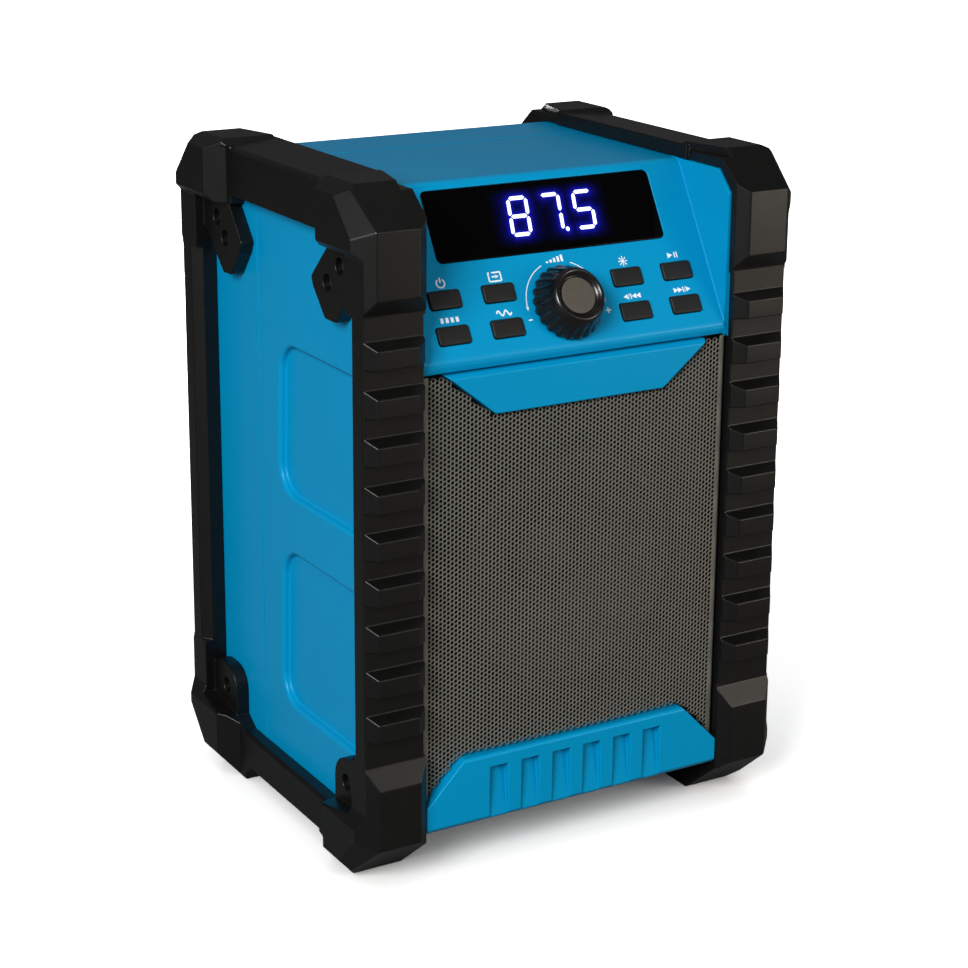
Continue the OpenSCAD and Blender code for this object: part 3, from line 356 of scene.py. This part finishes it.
def dish_rims(a, b):
    """Widths for the rims of the pressed panels: one at their upper edge, on the flank, another round
    their floor, and 0 for all other edges."""
    inner = np.minimum(abs(a[:, 0]), abs(b[:, 0]))
    outer = np.maximum(abs(a[:, 0]), abs(b[:, 0]))
    mid = (a + b) / 2
    inside = ((mid[:, 1] > DISH_DEPTHS[0]) & (mid[:, 1] < DISH_DEPTHS[1])
              & (mid[:, 2] > DISH_HEIGHTS[0]) & (mid[:, 2] < DISH_HEIGHTS[1]))
    top = inside & (inner > FLANK - 0.1)
    low = inside & (inner > DISH_FLOOR - 0.1) & (outer < DISH_FLOOR + 0.1)
    return np.where(top, RIM_WIDTH, np.where(low, FLOOR_WIDTH, 0.0))


softened("side_frame_left", 0.6)
softened("side_frame_right", 0.6)
# Parted above and below the pressed panels, and through the screw holes of the flank
softened("front_housing", 0.5, wide=dish_rims, cuts=(57, 268.6))
softened("rear_housing", 0.5, cuts=(48.85, 310.35, 321.7))
softened("chin_panel", 0.6)
softened("vent_panel", 0.7)
softened("battery_door", 0.4)
softened("display_window", 0.4)
for node in ("door_latch", "socket_cover", "antenna_base", "frame_screws"):
    softened(node, 0.25, segments=2)


# ---- Keys, knob and cap ----
def rounded_outline(width, height, radius):
    """Points round a rectangle with round corners: an arc of six parts about each corner's centre,
    in order, so that all such outlines have matching points."""
    t = np.linspace(0, np.pi / 2, 7)
    parts = []
    for i, (sx, sy) in enumerate(((1, 1), (-1, 1), (-1, -1), (1, -1))):
        angle = t + i * np.pi / 2
        parts.append(np.stack([sx * (width / 2 - radius) + radius * np.cos(angle),
                               sy * (height / 2 - radius) + radius * np.sin(angle)], -1))
    return np.concatenate(parts)


def pad(width, height, radius, low, high, edge, crown):
    """A moulded pad: its wall rises from low, turns inwards over a quarter circle of radius edge,
    and its top goes on inwards in rings. With k the share of the way to the middle, a ring stands
    crown times (1 less the square of 1 - k) above the edge."""
    rings = []
    levels = [(0.0, low)] + [(edge * (1 - math.cos(a)), high - edge + edge * math.sin(a))
                             for a in np.linspace(0, np.pi / 2, 6)]
    inner = min(width, height) / 2 - edge - 0.05
    levels += [(edge + inner * k, high + crown * (1 - (1 - k) ** 2))
               for k in (0.15, 0.35, 0.6, 0.85, 1.0)]
    for inset, z in levels:
        outline = rounded_outline(width - 2 * inset, height - 2 * inset, max(radius - inset, 0.02))
        rings.append(np.column_stack([outline, np.full(len(outline), z)]))
    return np.concatenate(rings), rings_to_faces(len(rings), len(rings[0]), cap_first=True)


COLUMNS = (-69.5, -38.4, 38.4, 69.5)        # places of the keys' middles across the fascia
ROWS = (32.8, 14.3)                         # and up its slope
KEY_PLACES = {"power": (0, 0), "source": (1, 0), "preset": (0, 1), "tune": (1, 1),
              "light": (2, 0), "play": (3, 0), "previous": (2, 1), "next": (3, 1)}
KEY_PAD = {"width": 18.0, "height": 9.4, "radius": 1.4, "low": -4.4, "high": 1.1, "edge": 0.7,
           "crown": 0.15}
for key, (column, row) in KEY_PLACES.items():
    points, faces = pad(**KEY_PAD)
    piece(key + "_key_pad", on_fascia(points, COLUMNS[column], ROWS[row]), faces, key_rubber,
          body=key + "_key", node=key + "_button")

KNOB = (-1.6, 23.0)             # the knob's middle, across the fascia and up its slope
FLUTES, FLUTE_DEPTH = 22, 1.15
KNOB_AROUND, CAP_AROUND = 264, 96       # points round the knob and round its cap


def fluted_skin(profile, flutes, depth, around):
    """A turned shape with flutes. The profile gives radius, height and share for each ring; the radius
    at an angle is the ring's radius less depth times share times the cube of the size of the cosine
    of half the angle times the number of flutes."""
    angle = np.linspace(0, 2 * np.pi, around, endpoint=False)
    r, z, share = np.array(profile).T
    wave = np.abs(np.cos(angle * flutes / 2)) ** 3
    radius = r[:, None] - depth * share[:, None] * wave[None, :]
    return np.stack([radius * np.cos(angle), radius * np.sin(angle),
                     np.repeat(z[:, None], around, 1)], -1)


knob_profile = [
    (4.0, 0.7, 0), (19.4, 0.7, 1), (19.9, 1.1, 1), (20.0, 1.7, 1), (19.9, 2.6, 1), (19.5, 3.5, 1),
    (18.9, 4.7, 0.9), (18.2, 6.2, 0.75), (17.4, 8.0, 0.55), (16.5, 10.0, 0.35), (15.6, 12.0, 0.12),
    (14.9, 13.4, 0.0), (14.2, 14.5, 0), (13.7, 15.1, 0), (13.3, 15.35, 0), (12.9, 15.4, 0),
    (12.4, 15.3, 0), (11.9, 14.9, 0), (11.3, 14.1, 0), (10.7, 13.3, 0), (10.1, 13.0, 0),
    (9.85, 12.9, 0), (9.8, 12.0, 0), (4.0, 12.0, 0)]
knob_points = fluted_skin(knob_profile, FLUTES, FLUTE_DEPTH, KNOB_AROUND)
piece("knob_skirt", on_fascia(knob_points, *KNOB),
      rings_to_faces(len(knob_profile), KNOB_AROUND, cap_first=True), knob_abs,
      body="knob", node="volume_knob")
cap_profile = [
    (8.9, 11.9, 0), (9.55, 12.2, 0), (9.6, 13.1, 0), (9.5, 13.4, 0), (9.2, 13.58, 0),
    (8.6, 13.62, 0), (6.0, 13.66, 0), (3.0, 13.68, 0), (0.4, 13.68, 0)]
cap_points = fluted_skin(cap_profile, 1, 0, CAP_AROUND)
piece("knob_face", on_fascia(cap_points, *KNOB),
      rings_to_faces(len(cap_profile), CAP_AROUND, cap_first=True), cap_abs,
      body="knob", node="knob_cap")


# ---- Punched grille ----
PITCH = 2.5                 # distance between neighbouring holes
HOLE = 1.13                 # radius of a hole at the front
TAPER = 0.06                # how much smaller a hole is behind
SHEET = 0.7                 # thickness of the sheet
BEND = 2.2                  # radius of the bend at either side of the sheet
FACE, BOW = 8.0, 2.4        # depth of the sheet's middle, and how much deeper its sides lie
RIM_FLAT, RIM_BACK = 1.9, 15.9      # width of the rim's flat before the bend, and depth of its end
GRILLE_HALF, GRILLE_LOW, GRILLE_TOP = 91.5, 40.6, 267.6
GRILLE_MIDDLE = 152         # height of the middle hole's centre
PARTED = 152.6              # height at which the sheet is parted, so that no piece is too heavy
# The chin's lower edge and the lower panel's upper edge, where the sheet goes behind them
CHIN_LOW, CHIN_HALF, CHIN_SLANT = 245, 50.3, 27.9 / 22.4
VENT_TOP, VENT_LOW, VENT_HALF = 63, 40, 91.2
# How far a hole's middle stays from a panel's level and slanted edges, and from the sheet's own
LEVEL_GAP, SLANT_GAP, SIDE_GAP, TOP_GAP, LOWEST_HOLE = 1.6, 2.4, 2.6, 1.4, 36


def bow(x):
    """Depth of the sheet's front: FACE, and more by BOW times the square of the share that x is of
    the half width."""
    return FACE + BOW * (x / GRILLE_HALF) ** 2


def punched_sheet(low, high):
    """Hexagonal cells in staggered upright columns, from a height up to another. Each has 12 points on
    its border, 12 on the hole's front edge and 12 on its slightly smaller back edge, joined by 24
    quads. Cells that the two panels hide are left out, and the outer ones end at the bent rim."""
    columns, rows = np.meshgrid(np.arange(-41, 42), np.arange(-50, 51))     # from the middle hole
    x = columns * PITCH * math.sqrt(3) / 2
    z = GRILLE_MIDDLE + (rows + 0.5 * (columns % 2)) * PITCH
    keep = (z < CHIN_LOW - LEVEL_GAP) | (abs(x) > CHIN_HALF + (z - CHIN_LOW) * CHIN_SLANT + SLANT_GAP)
    keep &= (z > VENT_TOP + LEVEL_GAP) | ((z - VENT_LOW) > (VENT_HALF - abs(x)) + SLANT_GAP)
    keep &= (abs(x) < GRILLE_HALF - SIDE_GAP) & (z < GRILLE_TOP - TOP_GAP) & (z > LOWEST_HOLE)
    keep &= (z > low) & (z <= high)
    cells = np.stack([x[keep], z[keep]], -1)
    angle = np.arange(12) * np.pi / 6
    border = np.where(np.arange(12) % 2 == 0, PITCH / math.sqrt(3), PITCH / 2)
    loops = []
    for radius, depth in ((border, 0.0), (np.full(12, HOLE), 0.0), (np.full(12, HOLE - TAPER), SHEET)):
        px = np.clip(cells[:, :1] + radius * np.cos(angle), -GRILLE_HALF + BEND, GRILLE_HALF - BEND)
        pz = cells[:, 1:] + radius * np.sin(angle)
        loops.append(np.stack([px, bow(px) + depth, pz], -1))
    points = np.stack(loops, 1)                      # cell, loop, point, xyz
    start = np.arange(len(cells))[:, None, None] * 36
    j = np.arange(12)[None, None, :]
    k = (j + 1) % 12
    ring = np.array([0, 12])[None, :, None]
    faces = np.stack([start + ring + j, start + ring + k,
                      start + ring + 12 + k, start + ring + 12 + j], -1)
    return points.reshape(-1, 3), faces.reshape(-1, 4)


for part, low, high, stands_for in (("upper", PARTED, 280, "grille"), ("lower", 0, PARTED, None)):
    points, faces = punched_sheet(low, high)
    piece("grille_sheet_" + part, points, faces.tolist(), mesh_steel, slot="mesh", node=stands_for,
          smooth=False)


def bent_rim(side):
    """The sheet's bent side: a profile of a short flat, a quarter turn of radius BEND and a return to
    the baffle, carried up the grille."""
    t = np.linspace(0, np.pi / 2, 7)
    edge = GRILLE_HALF - BEND
    profile = [(edge - RIM_FLAT, bow(edge - RIM_FLAT))]
    profile += [(edge + BEND * math.sin(a), bow(edge) + BEND * (1 - math.cos(a))) for a in t]
    profile += [(GRILLE_HALF, RIM_BACK)]
    profile = np.array(profile)
    z = np.array([GRILLE_LOW, GRILLE_TOP])
    grid = np.stack([np.repeat(side * profile[:, :1], 2, 1), np.repeat(profile[:, 1:], 2, 1),
                     np.repeat(z[None], len(profile), 0)], -1)
    i = np.arange(len(profile) - 1) * 2
    quads = np.stack([i, i + 2, i + 3, i + 1], -1)
    return grid.reshape(-1, 3), (quads if side > 0 else quads[:, ::-1]).tolist()


for side_name, sign in (("left", -1), ("right", 1)):
    points, faces = bent_rim(sign)
    piece("grille_rim_" + side_name, points, faces, mesh_steel, slot="mesh")


# ---- Display: lit figures behind the black window ----
def lit(name, colour, strength):
    """A surface that glows in a colour, with a fine unevenness of a tenth of its strength."""
    material, tree = new_material(name)
    place = add(tree, "ShaderNodeTexCoord")
    grain = add(tree, "ShaderNodeTexNoise", {"Vector": place.outputs["Object"], "Scale": 900.0})
    level = add(tree, "ShaderNodeMapRange", {
        "Value": grain.outputs["Fac"], "To Min": strength * 0.9, "To Max": strength * 1.1})
    shader = add(tree, "ShaderNodeBsdfPrincipled", {
        "Base Color": linear(colour), "Roughness": 0.4,
        "Emission Color": linear(colour), "Emission Strength": level.outputs[0]})
    add(tree, "ShaderNodeOutputMaterial", {"Surface": shader.outputs[0]})
    return material


# Light-emitting diodes behind bars of moulded, frosted resin: an even white glow
led_light = lit("white_led_bars", "#eef4ff", 1.0)
DIGIT_W, DIGIT_H = 10.4, 19.4       # between the middles of a figure's outer bars
BAR, SLANT, GAP = 2.0, 0.10, 0.5    # a bar's width, its lean, and the gap before its pointed ends
# Which bars are lit: top, upper right, lower right, bottom, lower left, upper left, middle
BARS = {"8": (1, 1, 1, 1, 1, 1, 1), "7": (1, 1, 1, 0, 0, 0, 0), "5": (1, 0, 1, 1, 0, 1, 1)}
WINDOW_UP = 51.4 + 19.0             # the window's lower edge and half its height, up the slope


def bar_shapes(digit, x, y):
    """The lit bars of a figure. Each is a long hexagon between two corners of the figure, its ends
    cut to points, and all of it leans right by SLANT times its height."""
    w, h = DIGIT_W / 2, DIGIT_H / 2
    ends = [((-w, h), (w, h)), ((w, h), (w, 0)), ((w, 0), (w, -h)), ((-w, -h), (w, -h)),
            ((-w, 0), (-w, -h)), ((-w, h), (-w, 0)), ((-w, 0), (w, 0))]
    shapes = []
    for (a, b), on in zip(ends, BARS[digit]):
        if on:
            a, b = np.array(a, float), np.array(b, float)
            along = (b - a) / np.linalg.norm(b - a)
            across = np.array([-along[1], along[0]]) * BAR / 2
            a, b = a + along * GAP, b - along * GAP
            hexagon = np.array([a, a + along * BAR / 2 - across, b - along * BAR / 2 - across, b,
                                b - along * BAR / 2 + across, a + along * BAR / 2 + across])
            hexagon[:, 0] += hexagon[:, 1] * SLANT
            shapes.append(hexagon + [x, y])
    return shapes


FIGURES = (("8", -15.2), ("7", 4.2), ("5", 23.8))       # each with its place across the window
FIGURE_UP = 1.0                     # the figures' middle over the window's middle
DOT_PLACE, DOT_RADIUS = (11.0, FIGURE_UP - DIGIT_H / 2 + 0.2), 1.15
shapes = [s for digit, x in FIGURES for s in bar_shapes(digit, x, FIGURE_UP)]
turns = np.linspace(0, 2 * np.pi, 12, endpoint=False)
dot = np.array([[math.cos(a), math.sin(a)] for a in turns]) * DOT_RADIUS
shapes.append(dot + DOT_PLACE)


def flat_shapes(name, shapes, up, height, material, slot):
    """Flat outlines laid on the fascia at a small height, each one face, turned to face outwards."""
    points, faces = [], []
    for s in shapes:
        twice_area = np.sum(s[:, 0] * np.roll(s[:, 1], -1) - np.roll(s[:, 0], -1) * s[:, 1])
        s = s if twice_area > 0 else s[::-1]
        faces.append(list(range(len(points), len(points) + len(s))))
        points += [(p[0], p[1], height) for p in s]
    piece(name, on_fascia(points, 0, up), faces, material, slot=slot, smooth=False)


FIGURE_HEIGHT, GLOW_HEIGHT, PRINT_HEIGHT = 0.10, 0.05, 0.06      # above the fascia's face
flat_shapes("lit_figures", shapes, WINDOW_UP, FIGURE_HEIGHT, led_light, "window")


GLOW_X, GLOW_Y = (-34, 40), (-16, 17)       # ends of the grid that carries the glow
GLOW_ACROSS, GLOW_UP = 186, 84              # and its points either way


def fade(values, middle, near, reach):
    """1 within near of the middle, and from there evenly down to 0 over reach."""
    return np.clip(1 - np.maximum(abs(values - middle) - near, 0) / reach, 0, 1)


def halo():
    """A flat grid over the figures, with an attribute `glow` for the light that spreads in the window.
    With d the distance to the nearest lit bar, glow is three quarters of e to the power of -d / 1.1
    plus a quarter of e to the power of -d / 3.5, times a fade to 0 at the grid's border."""
    gx, gy = np.meshgrid(np.linspace(*GLOW_X, GLOW_ACROSS), np.linspace(*GLOW_Y, GLOW_UP))
    points = np.stack([gx, gy], -1).reshape(-1, 2)
    near = np.full(len(points), 1e9)
    for outline in shapes:
        for p, q in zip(outline, np.roll(outline, -1, 0)):
            t = np.clip(((points - p) @ (q - p)) / max(1e-9, (q - p) @ (q - p)), 0, 1)
            near = np.minimum(near, np.linalg.norm(points - (p + t[:, None] * (q - p)), axis=1))
    faded = fade(points[:, 0], 3, 30, 6) * fade(points[:, 1], 0.5, 12, 4)
    glow = (0.75 * np.exp(-near / 1.1) + 0.25 * np.exp(-near / 3.5)) * faded
    grid = np.arange(GLOW_UP * GLOW_ACROSS).reshape(GLOW_UP, GLOW_ACROSS)
    faces = np.stack([grid[:-1, :-1], grid[:-1, 1:], grid[1:, 1:], grid[1:, :-1]], -1).reshape(-1, 4)
    laid = np.column_stack([points, np.full(len(points), GLOW_HEIGHT)])
    made = piece("window_glow", on_fascia(laid, 0, WINDOW_UP), faces.tolist(), glow_acrylic,
                 slot="window")
    level = made.data.attributes.new("glow", "FLOAT", "POINT")
    level.data.foreach_set("value", glow.astype(np.float32))


# The same cast acrylic, lit from behind in deep blue round the figures
glow_acrylic, tree = new_material("backlit_window_acrylic")
level = add(tree, "ShaderNodeAttribute", attribute_name="glow")
place = add(tree, "ShaderNodeTexCoord")
drift = add(tree, "ShaderNodeTexNoise", {"Vector": place.outputs["Object"], "Scale": 400.0})
shade = add(tree, "ShaderNodeMapRange", {"Value": drift.outputs["Fac"], "To Min": 0.6, "To Max": 0.8})
power = add(tree, "ShaderNodeMath", {0: level.outputs["Fac"], 1: shade.outputs[0]},
            operation="MULTIPLY")
shader = add(tree, "ShaderNodeBsdfPrincipled", {
    "Base Color": linear("#020203"), "Roughness": 0.07, "IOR": 1.49, "Specular IOR Level": 0.1,
    "Emission Color": linear("#1b1fe0"), "Emission Strength": power.outputs[0]})
add(tree, "ShaderNodeOutputMaterial", {"Surface": shader.outputs[0]})
halo()

# ---- Printed signs ----
# Pad-printed ink: opaque white, slightly dull
print_ink = finish("white_pad_print_ink", "#dfe9f0", 0.5, 0.5, 0.004, mottle=0.03, cloud=3)


def stroke(path, width):
    """The outline of a line of even width along a path: each point is moved half the width to either
    side, across the mean direction of the parts that meet there."""
    path = np.asarray(path, float)
    along = np.gradient(path, axis=0)
    along /= np.linalg.norm(along, axis=1)[:, None]
    across = np.stack([-along[:, 1], along[:, 0]], -1) * width / 2
    return np.concatenate([path + across, (path - across)[::-1]])


def arc(radius, start, end, steps=16):
    """Points along an arc about the middle, between two angles in degrees."""
    a = np.radians(np.linspace(start, end, steps))
    return np.stack([radius * np.cos(a), radius * np.sin(a)], -1)


def strips(path, width):
    """The quads of a stroke, one for each part of its path, so that a bent line stays clean."""
    outline = stroke(path, width)
    n = len(outline) // 2
    return [outline[[i, i + 1, 2 * n - 2 - i, 2 * n - 1 - i]] for i in range(n - 1)]


def box_sign(x0, y0, x1, y1):
    """An upright rectangle between two corners."""
    return [np.array([[x0, y0], [x1, y0], [x1, y1], [x0, y1]], float)]


def triangle(x, y, size, way=1):
    """A triangle as wide as it is high that points right, or left where way is -1."""
    foot = x - way * size / 2
    return [np.array([[foot, y - size / 2], [x + way * size / 2, y], [foot, y + size / 2]], float)]


def moved(shapes, x, y):
    """The shapes, shifted across and up."""
    return [s + [x, y] for s in shapes]


LINE = 0.66                 # width of the signs' lines, as drawn
SIZE = 1.2                  # how much larger the signs are printed than drawn
power_sign = strips(arc(1.9, 125, 415), LINE) + box_sign(-LINE / 2, 0.3, LINE / 2, 2.5)
frame_corners = [(-1.2, 1.9), (2.9, 1.9), (2.9, -1.9), (-2.9, -1.9), (-2.9, 1.9), (-2.3, 1.9)]
source_sign = sum((strips(list(ends), LINE) for ends in zip(frame_corners, frame_corners[1:])), [])
source_sign += strips([(-1.4, 0.1), (1.0, 0.1)], LINE) + triangle(1.1, 0.1, 1.7)
light_sign = sum((strips([(0.9 * math.cos(a), 0.9 * math.sin(a)),
                          (2.3 * math.cos(a), 2.3 * math.sin(a))], 0.45)
                  for a in np.arange(8) * np.pi / 4), []) + [arc(0.75, 0, 345, steps=24)]
play_sign = triangle(-1.3, 0, 2.6) + box_sign(0.7, -1.3, 1.3, 1.3) + box_sign(1.9, -1.3, 2.5, 1.3)
previous_sign = (triangle(0.9, 0, 2.4, -1) + triangle(3.1, 0, 2.4, -1)
                 + box_sign(-0.9, -1.2, -0.35, 1.2) + triangle(-3.4, 0, 2.2, -1)
                 + strips([(-2.1, -1.3), (-1.3, 1.3)], 0.35))
next_sign = (triangle(-3.1, 0, 2.4) + triangle(-0.9, 0, 2.4) + box_sign(0.35, -1.2, 0.9, 1.2)
             + triangle(3.4, 0, 2.2) + strips([(1.3, -1.3), (2.1, 1.3)], 0.35))
preset_sign = sum((box_sign(-4.4 + 2.4 * i, -1.1, -3.0 + 2.4 * i, 1.1) for i in range(4)), [])
tune_wave = np.column_stack([np.linspace(-3.6, 3.6, 33), 1.1 * np.sin(np.linspace(0, 4 * np.pi, 33))])
tune_sign = strips(tune_wave, LINE)
volume_sign = sum((box_sign(-3.6 + 1.5 * i, -1.2, -2.7 + 1.5 * i, -0.6 + 0.45 * i)
                   for i in range(5)), [])
SIGNS = {"power": power_sign, "source": source_sign, "preset": preset_sign, "tune": tune_sign,
         "light": light_sign, "play": play_sign, "previous": previous_sign, "next": next_sign}
SIGN_RISES = (8.6, 8.0)     # how far the signs stand above the keys of either row
for key, (column, row) in KEY_PLACES.items():
    printed = moved([SIZE * s for s in SIGNS[key]], COLUMNS[column], ROWS[row] + SIGN_RISES[row])
    flat_shapes(key + "_sign", printed, 0, PRINT_HEIGHT, print_ink, "shell")

SWING = 22.8                # radius of the arcs round the knob, each ending in an arrowhead
ARROW_LONG, ARROW_HALF = 2.2, 0.9       # an arrowhead's length and half its width
marks = strips(arc(SWING, 112, 178, steps=26), 0.5) + strips(arc(SWING, 68, 0, steps=26), 0.5)
for angle, way in ((178, 1), (0, -1)):
    a = math.radians(angle)
    centre = np.array([SWING * math.cos(a), SWING * math.sin(a)])
    ahead = np.array([-math.sin(a), math.cos(a)]) * way
    out = np.array([math.cos(a), math.sin(a)])
    marks.append(np.array([centre + ahead * ARROW_LONG,
                           centre - out * ARROW_HALF, centre + out * ARROW_HALF]))
# The rising bars above the knob, then a minus on its left and a plus on its right
marks += moved([1.5 * s for s in volume_sign], 0, 24.0)
marks += moved(strips([(-1.2, 0), (1.2, 0)], 0.6), -22.8, -6.1)
marks += moved(strips([(-1.5, 0), (1.5, 0)], 0.7) + strips([(0, -1.5), (0, 1.5)], 0.7), 23.6, -6.4)
flat_shapes("volume_marks", moved(marks, *KNOB), 0, PRINT_HEIGHT, print_ink, "shell")

# ---- Stage: floor, light and background ----
FLOOR = 8.0                 # half the floor's width in metres
floor_mesh = bpy.data.meshes.new("floor")
floor_mesh.from_pydata([(-FLOOR, -FLOOR, 0), (FLOOR, -FLOOR, 0), (FLOOR, FLOOR, 0), (-FLOOR, FLOOR, 0)],
                       [], [(0, 1, 2, 3)])
floor = bpy.data.objects.new("floor", floor_mesh)
bpy.context.scene.collection.objects.link(floor)
# Paper, rolled and left uncoated: matt white all over, with painted shade darkening it close round the
# object
paper, tree = new_material("white_paper_floor")
rays = add(tree, "ShaderNodeLightPath")
# Painted shade: ambient occlusion dims the floor's glow close round and under the object
near = add(tree, "ShaderNodeAmbientOcclusion", {"Distance": 0.14}, samples=8)
glow_with_painted_shade = add(tree, "ShaderNodeMath", {0: near.outputs["AO"], 1: 0.64}, operation="MULTIPLY")
# Away from the object the paper's own white takes over, so that it ends without a horizon
place = add(tree, "ShaderNodeTexCoord")
reach = add(tree, "ShaderNodeVectorMath", {0: place.outputs["Object"]}, operation="LENGTH")
far = add(tree, "ShaderNodeMapRange", {
    "Value": reach.outputs["Value"], "From Min": 0.3, "From Max": 0.6, "To Max": 1.0},
    interpolation_type="SMOOTHSTEP")
glow_with_painted_shade = add(tree, "ShaderNodeMath", {0: glow_with_painted_shade.outputs[0], 1: far.outputs[0]}, operation="ADD")
seen = add(tree, "ShaderNodeMath", {0: glow_with_painted_shade.outputs[0], 1: rays.outputs["Is Camera Ray"]},
           operation="MULTIPLY")
tone = add(tree, "ShaderNodeMix", {
    0: rays.outputs["Is Camera Ray"], 6: linear("#707070"), 7: linear("#f4f4f4")}, data_type="RGBA")
shader = add(tree, "ShaderNodeBsdfPrincipled", {
    "Base Color": tone.outputs[2], "Roughness": 0.9, "Specular IOR Level": 0.1,
    "Emission Color": (1, 1, 1, 1), "Emission Strength": seen.outputs[0]})
add(tree, "ShaderNodeOutputMaterial", {"Surface": shader.outputs[0]})
floor_mesh.materials.append(paper)


def softbox(name, place, target, size, watts, tint="#ffffff"):
    """A flat square lamp of the given size in metres and tint, turned to face a point."""
    lamp = bpy.data.lights.new(name, "AREA")
    lamp.shape, lamp.size, lamp.size_y, lamp.energy = "RECTANGLE", size, size, watts
    lamp.color = linear(tint)[:3]
    made = bpy.data.objects.new(name, lamp)
    bpy.context.scene.collection.objects.link(made)
    z = np.array(place, float) - np.array(target, float)
    z /= np.linalg.norm(z)
    x = np.cross([0, 0, 1], z)
    x /= np.linalg.norm(x)
    made.matrix_world = placed(x, np.cross(z, x), z, place)


softbox("key_box", (0.9, -1.75, 1.05), (0, 0, 0.18), 0.8, 4)
softbox("left_box", (-1.66, -1.22, 1.24), (0, 0, 0.2), 0.9, 58)
softbox("right_box", (0.95, -1.15, 0.34), (0.1, -0.1, 0.24), 0.4, 5.5, tint="#fff1df")
softbox("top_box", (0.1, 0.2, 1.9), (0, 0, 0.2), 1.3, 1)
softbox("back_box", (0.3, 1.3, 0.2), (0, 0, 0.19), 0.3, 7)

world = bpy.data.worlds.new("white_room")
bpy.context.scene.world = world
world.use_nodes = True
world.node_tree.nodes.clear()
tree = world.node_tree
rays = add(tree, "ShaderNodeLightPath")
dim = add(tree, "ShaderNodeMapRange", {
    "Value": rays.outputs["Is Glossy Ray"], "To Min": 0.24, "To Max": 0.10})
strength = add(tree, "ShaderNodeMapRange", {
    "Value": rays.outputs["Is Camera Ray"], "To Min": dim.outputs[0], "To Max": 1.0})
surround = add(tree, "ShaderNodeBackground", {"Color": (1, 1, 1, 1), "Strength": strength.outputs[0]})
add(tree, "ShaderNodeOutputWorld", {"Surface": surround.outputs[0]})
bpy.context.scene.view_settings.view_transform = "Standard"

bpy.context.view_layer.update()
